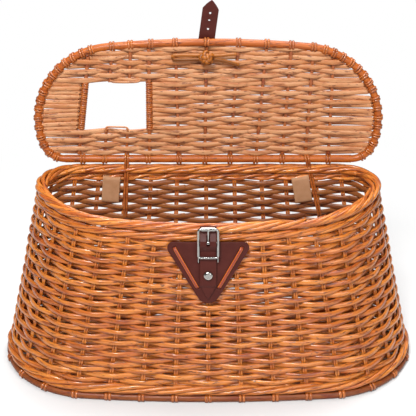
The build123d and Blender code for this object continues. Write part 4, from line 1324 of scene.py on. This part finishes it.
def floor_paper():
    """White paper: lit from below for the camera, so that it stays white and keeps a soft shadow."""
    material = bpy.data.materials.new("paper_white_matt")
    material.use_nodes = True
    tree = material.node_tree
    tree.nodes.clear()
    seen = seen_by_eye(tree)
    place = add_node(tree, "ShaderNodeTexCoord").outputs["Object"]
    fibre = add_node(tree, "ShaderNodeTexNoise", None, {"Vector": place, "Scale": 900.0}).outputs[0]
    shade = add_node(tree, "ShaderNodeMapRange", None, {0: fibre, 3: 0.71, 4: 0.75}).outputs[0]
    grey = add_node(tree, "ShaderNodeMapRange", None, {0: seen, 3: 0.45, 4: shade}).outputs[0]
    paper = add_node(tree, "ShaderNodeBsdfDiffuse", None, {"Color": grey})
    glow = add_node(tree, "ShaderNodeEmission", None, {"Color": (1, 1, 1, 1), "Strength": 1.0})
    far = add_node(tree, "ShaderNodeVectorMath", {"operation": "LENGTH"}, {0: place}).outputs["Value"]
    share = add_node(
        tree, "ShaderNodeMapRange", {"interpolation_type": "SMOOTHSTEP"},
        {0: far, 1: FAR_FLOOR[0], 2: FAR_FLOOR[1], 3: FLOOR_GLOW, 4: 1.0},
    ).outputs[0]
    part = add_node(tree, "ShaderNodeMath", {"operation": "MULTIPLY"}, {0: seen, 1: share}).outputs[0]
    mixed = add_node(tree, "ShaderNodeMixShader", None, {0: part, 1: paper.outputs[0], 2: glow.outputs[0]})
    add_node(tree, "ShaderNodeOutputMaterial", None, {"Surface": mixed.outputs[0]})
    return material


class CREEL_PT_panel(bpy.types.Panel):
    """Sizes, colours and steps of the creel"""

    bl_label = "Wicker creel"
    bl_idname = "CREEL_PT_panel"
    bl_space_type = "VIEW_3D"
    bl_region_type = "UI"
    bl_category = "Creel"

    def draw(self, context):
        for group in (context.scene.creel_sizes, context.scene.creel_colours):
            box = self.layout.box()
            for name in group.__annotations__:
                box.prop(group, name)
        for step in STEPS:
            self.layout.operator(step.bl_idname)


STEPS = (
    CREEL_OT_stage, CREEL_OT_wall, CREEL_OT_wales, CREEL_OT_border, CREEL_OT_floor, CREEL_OT_lid_panel,
    CREEL_OT_windings, CREEL_OT_sticks, CREEL_OT_leather, CREEL_OT_thongs, CREEL_OT_fittings,
)
CLASSES = (CreelSizes, CreelColours, *STEPS, CREEL_PT_panel)


def register():
    for kind in CLASSES:
        bpy.utils.register_class(kind)
    bpy.types.Scene.creel_sizes = PointerProperty(type=CreelSizes)
    bpy.types.Scene.creel_colours = PointerProperty(type=CreelColours)


def unregister():
    del bpy.types.Scene.creel_colours
    del bpy.types.Scene.creel_sizes
    for kind in reversed(CLASSES):
        bpy.utils.unregister_class(kind)


def main():
    register()
    for step in STEPS:
        group, name = step.bl_idname.split(".")
        getattr(getattr(bpy.ops, group), name)()


if __name__ == "__main__":
    main()
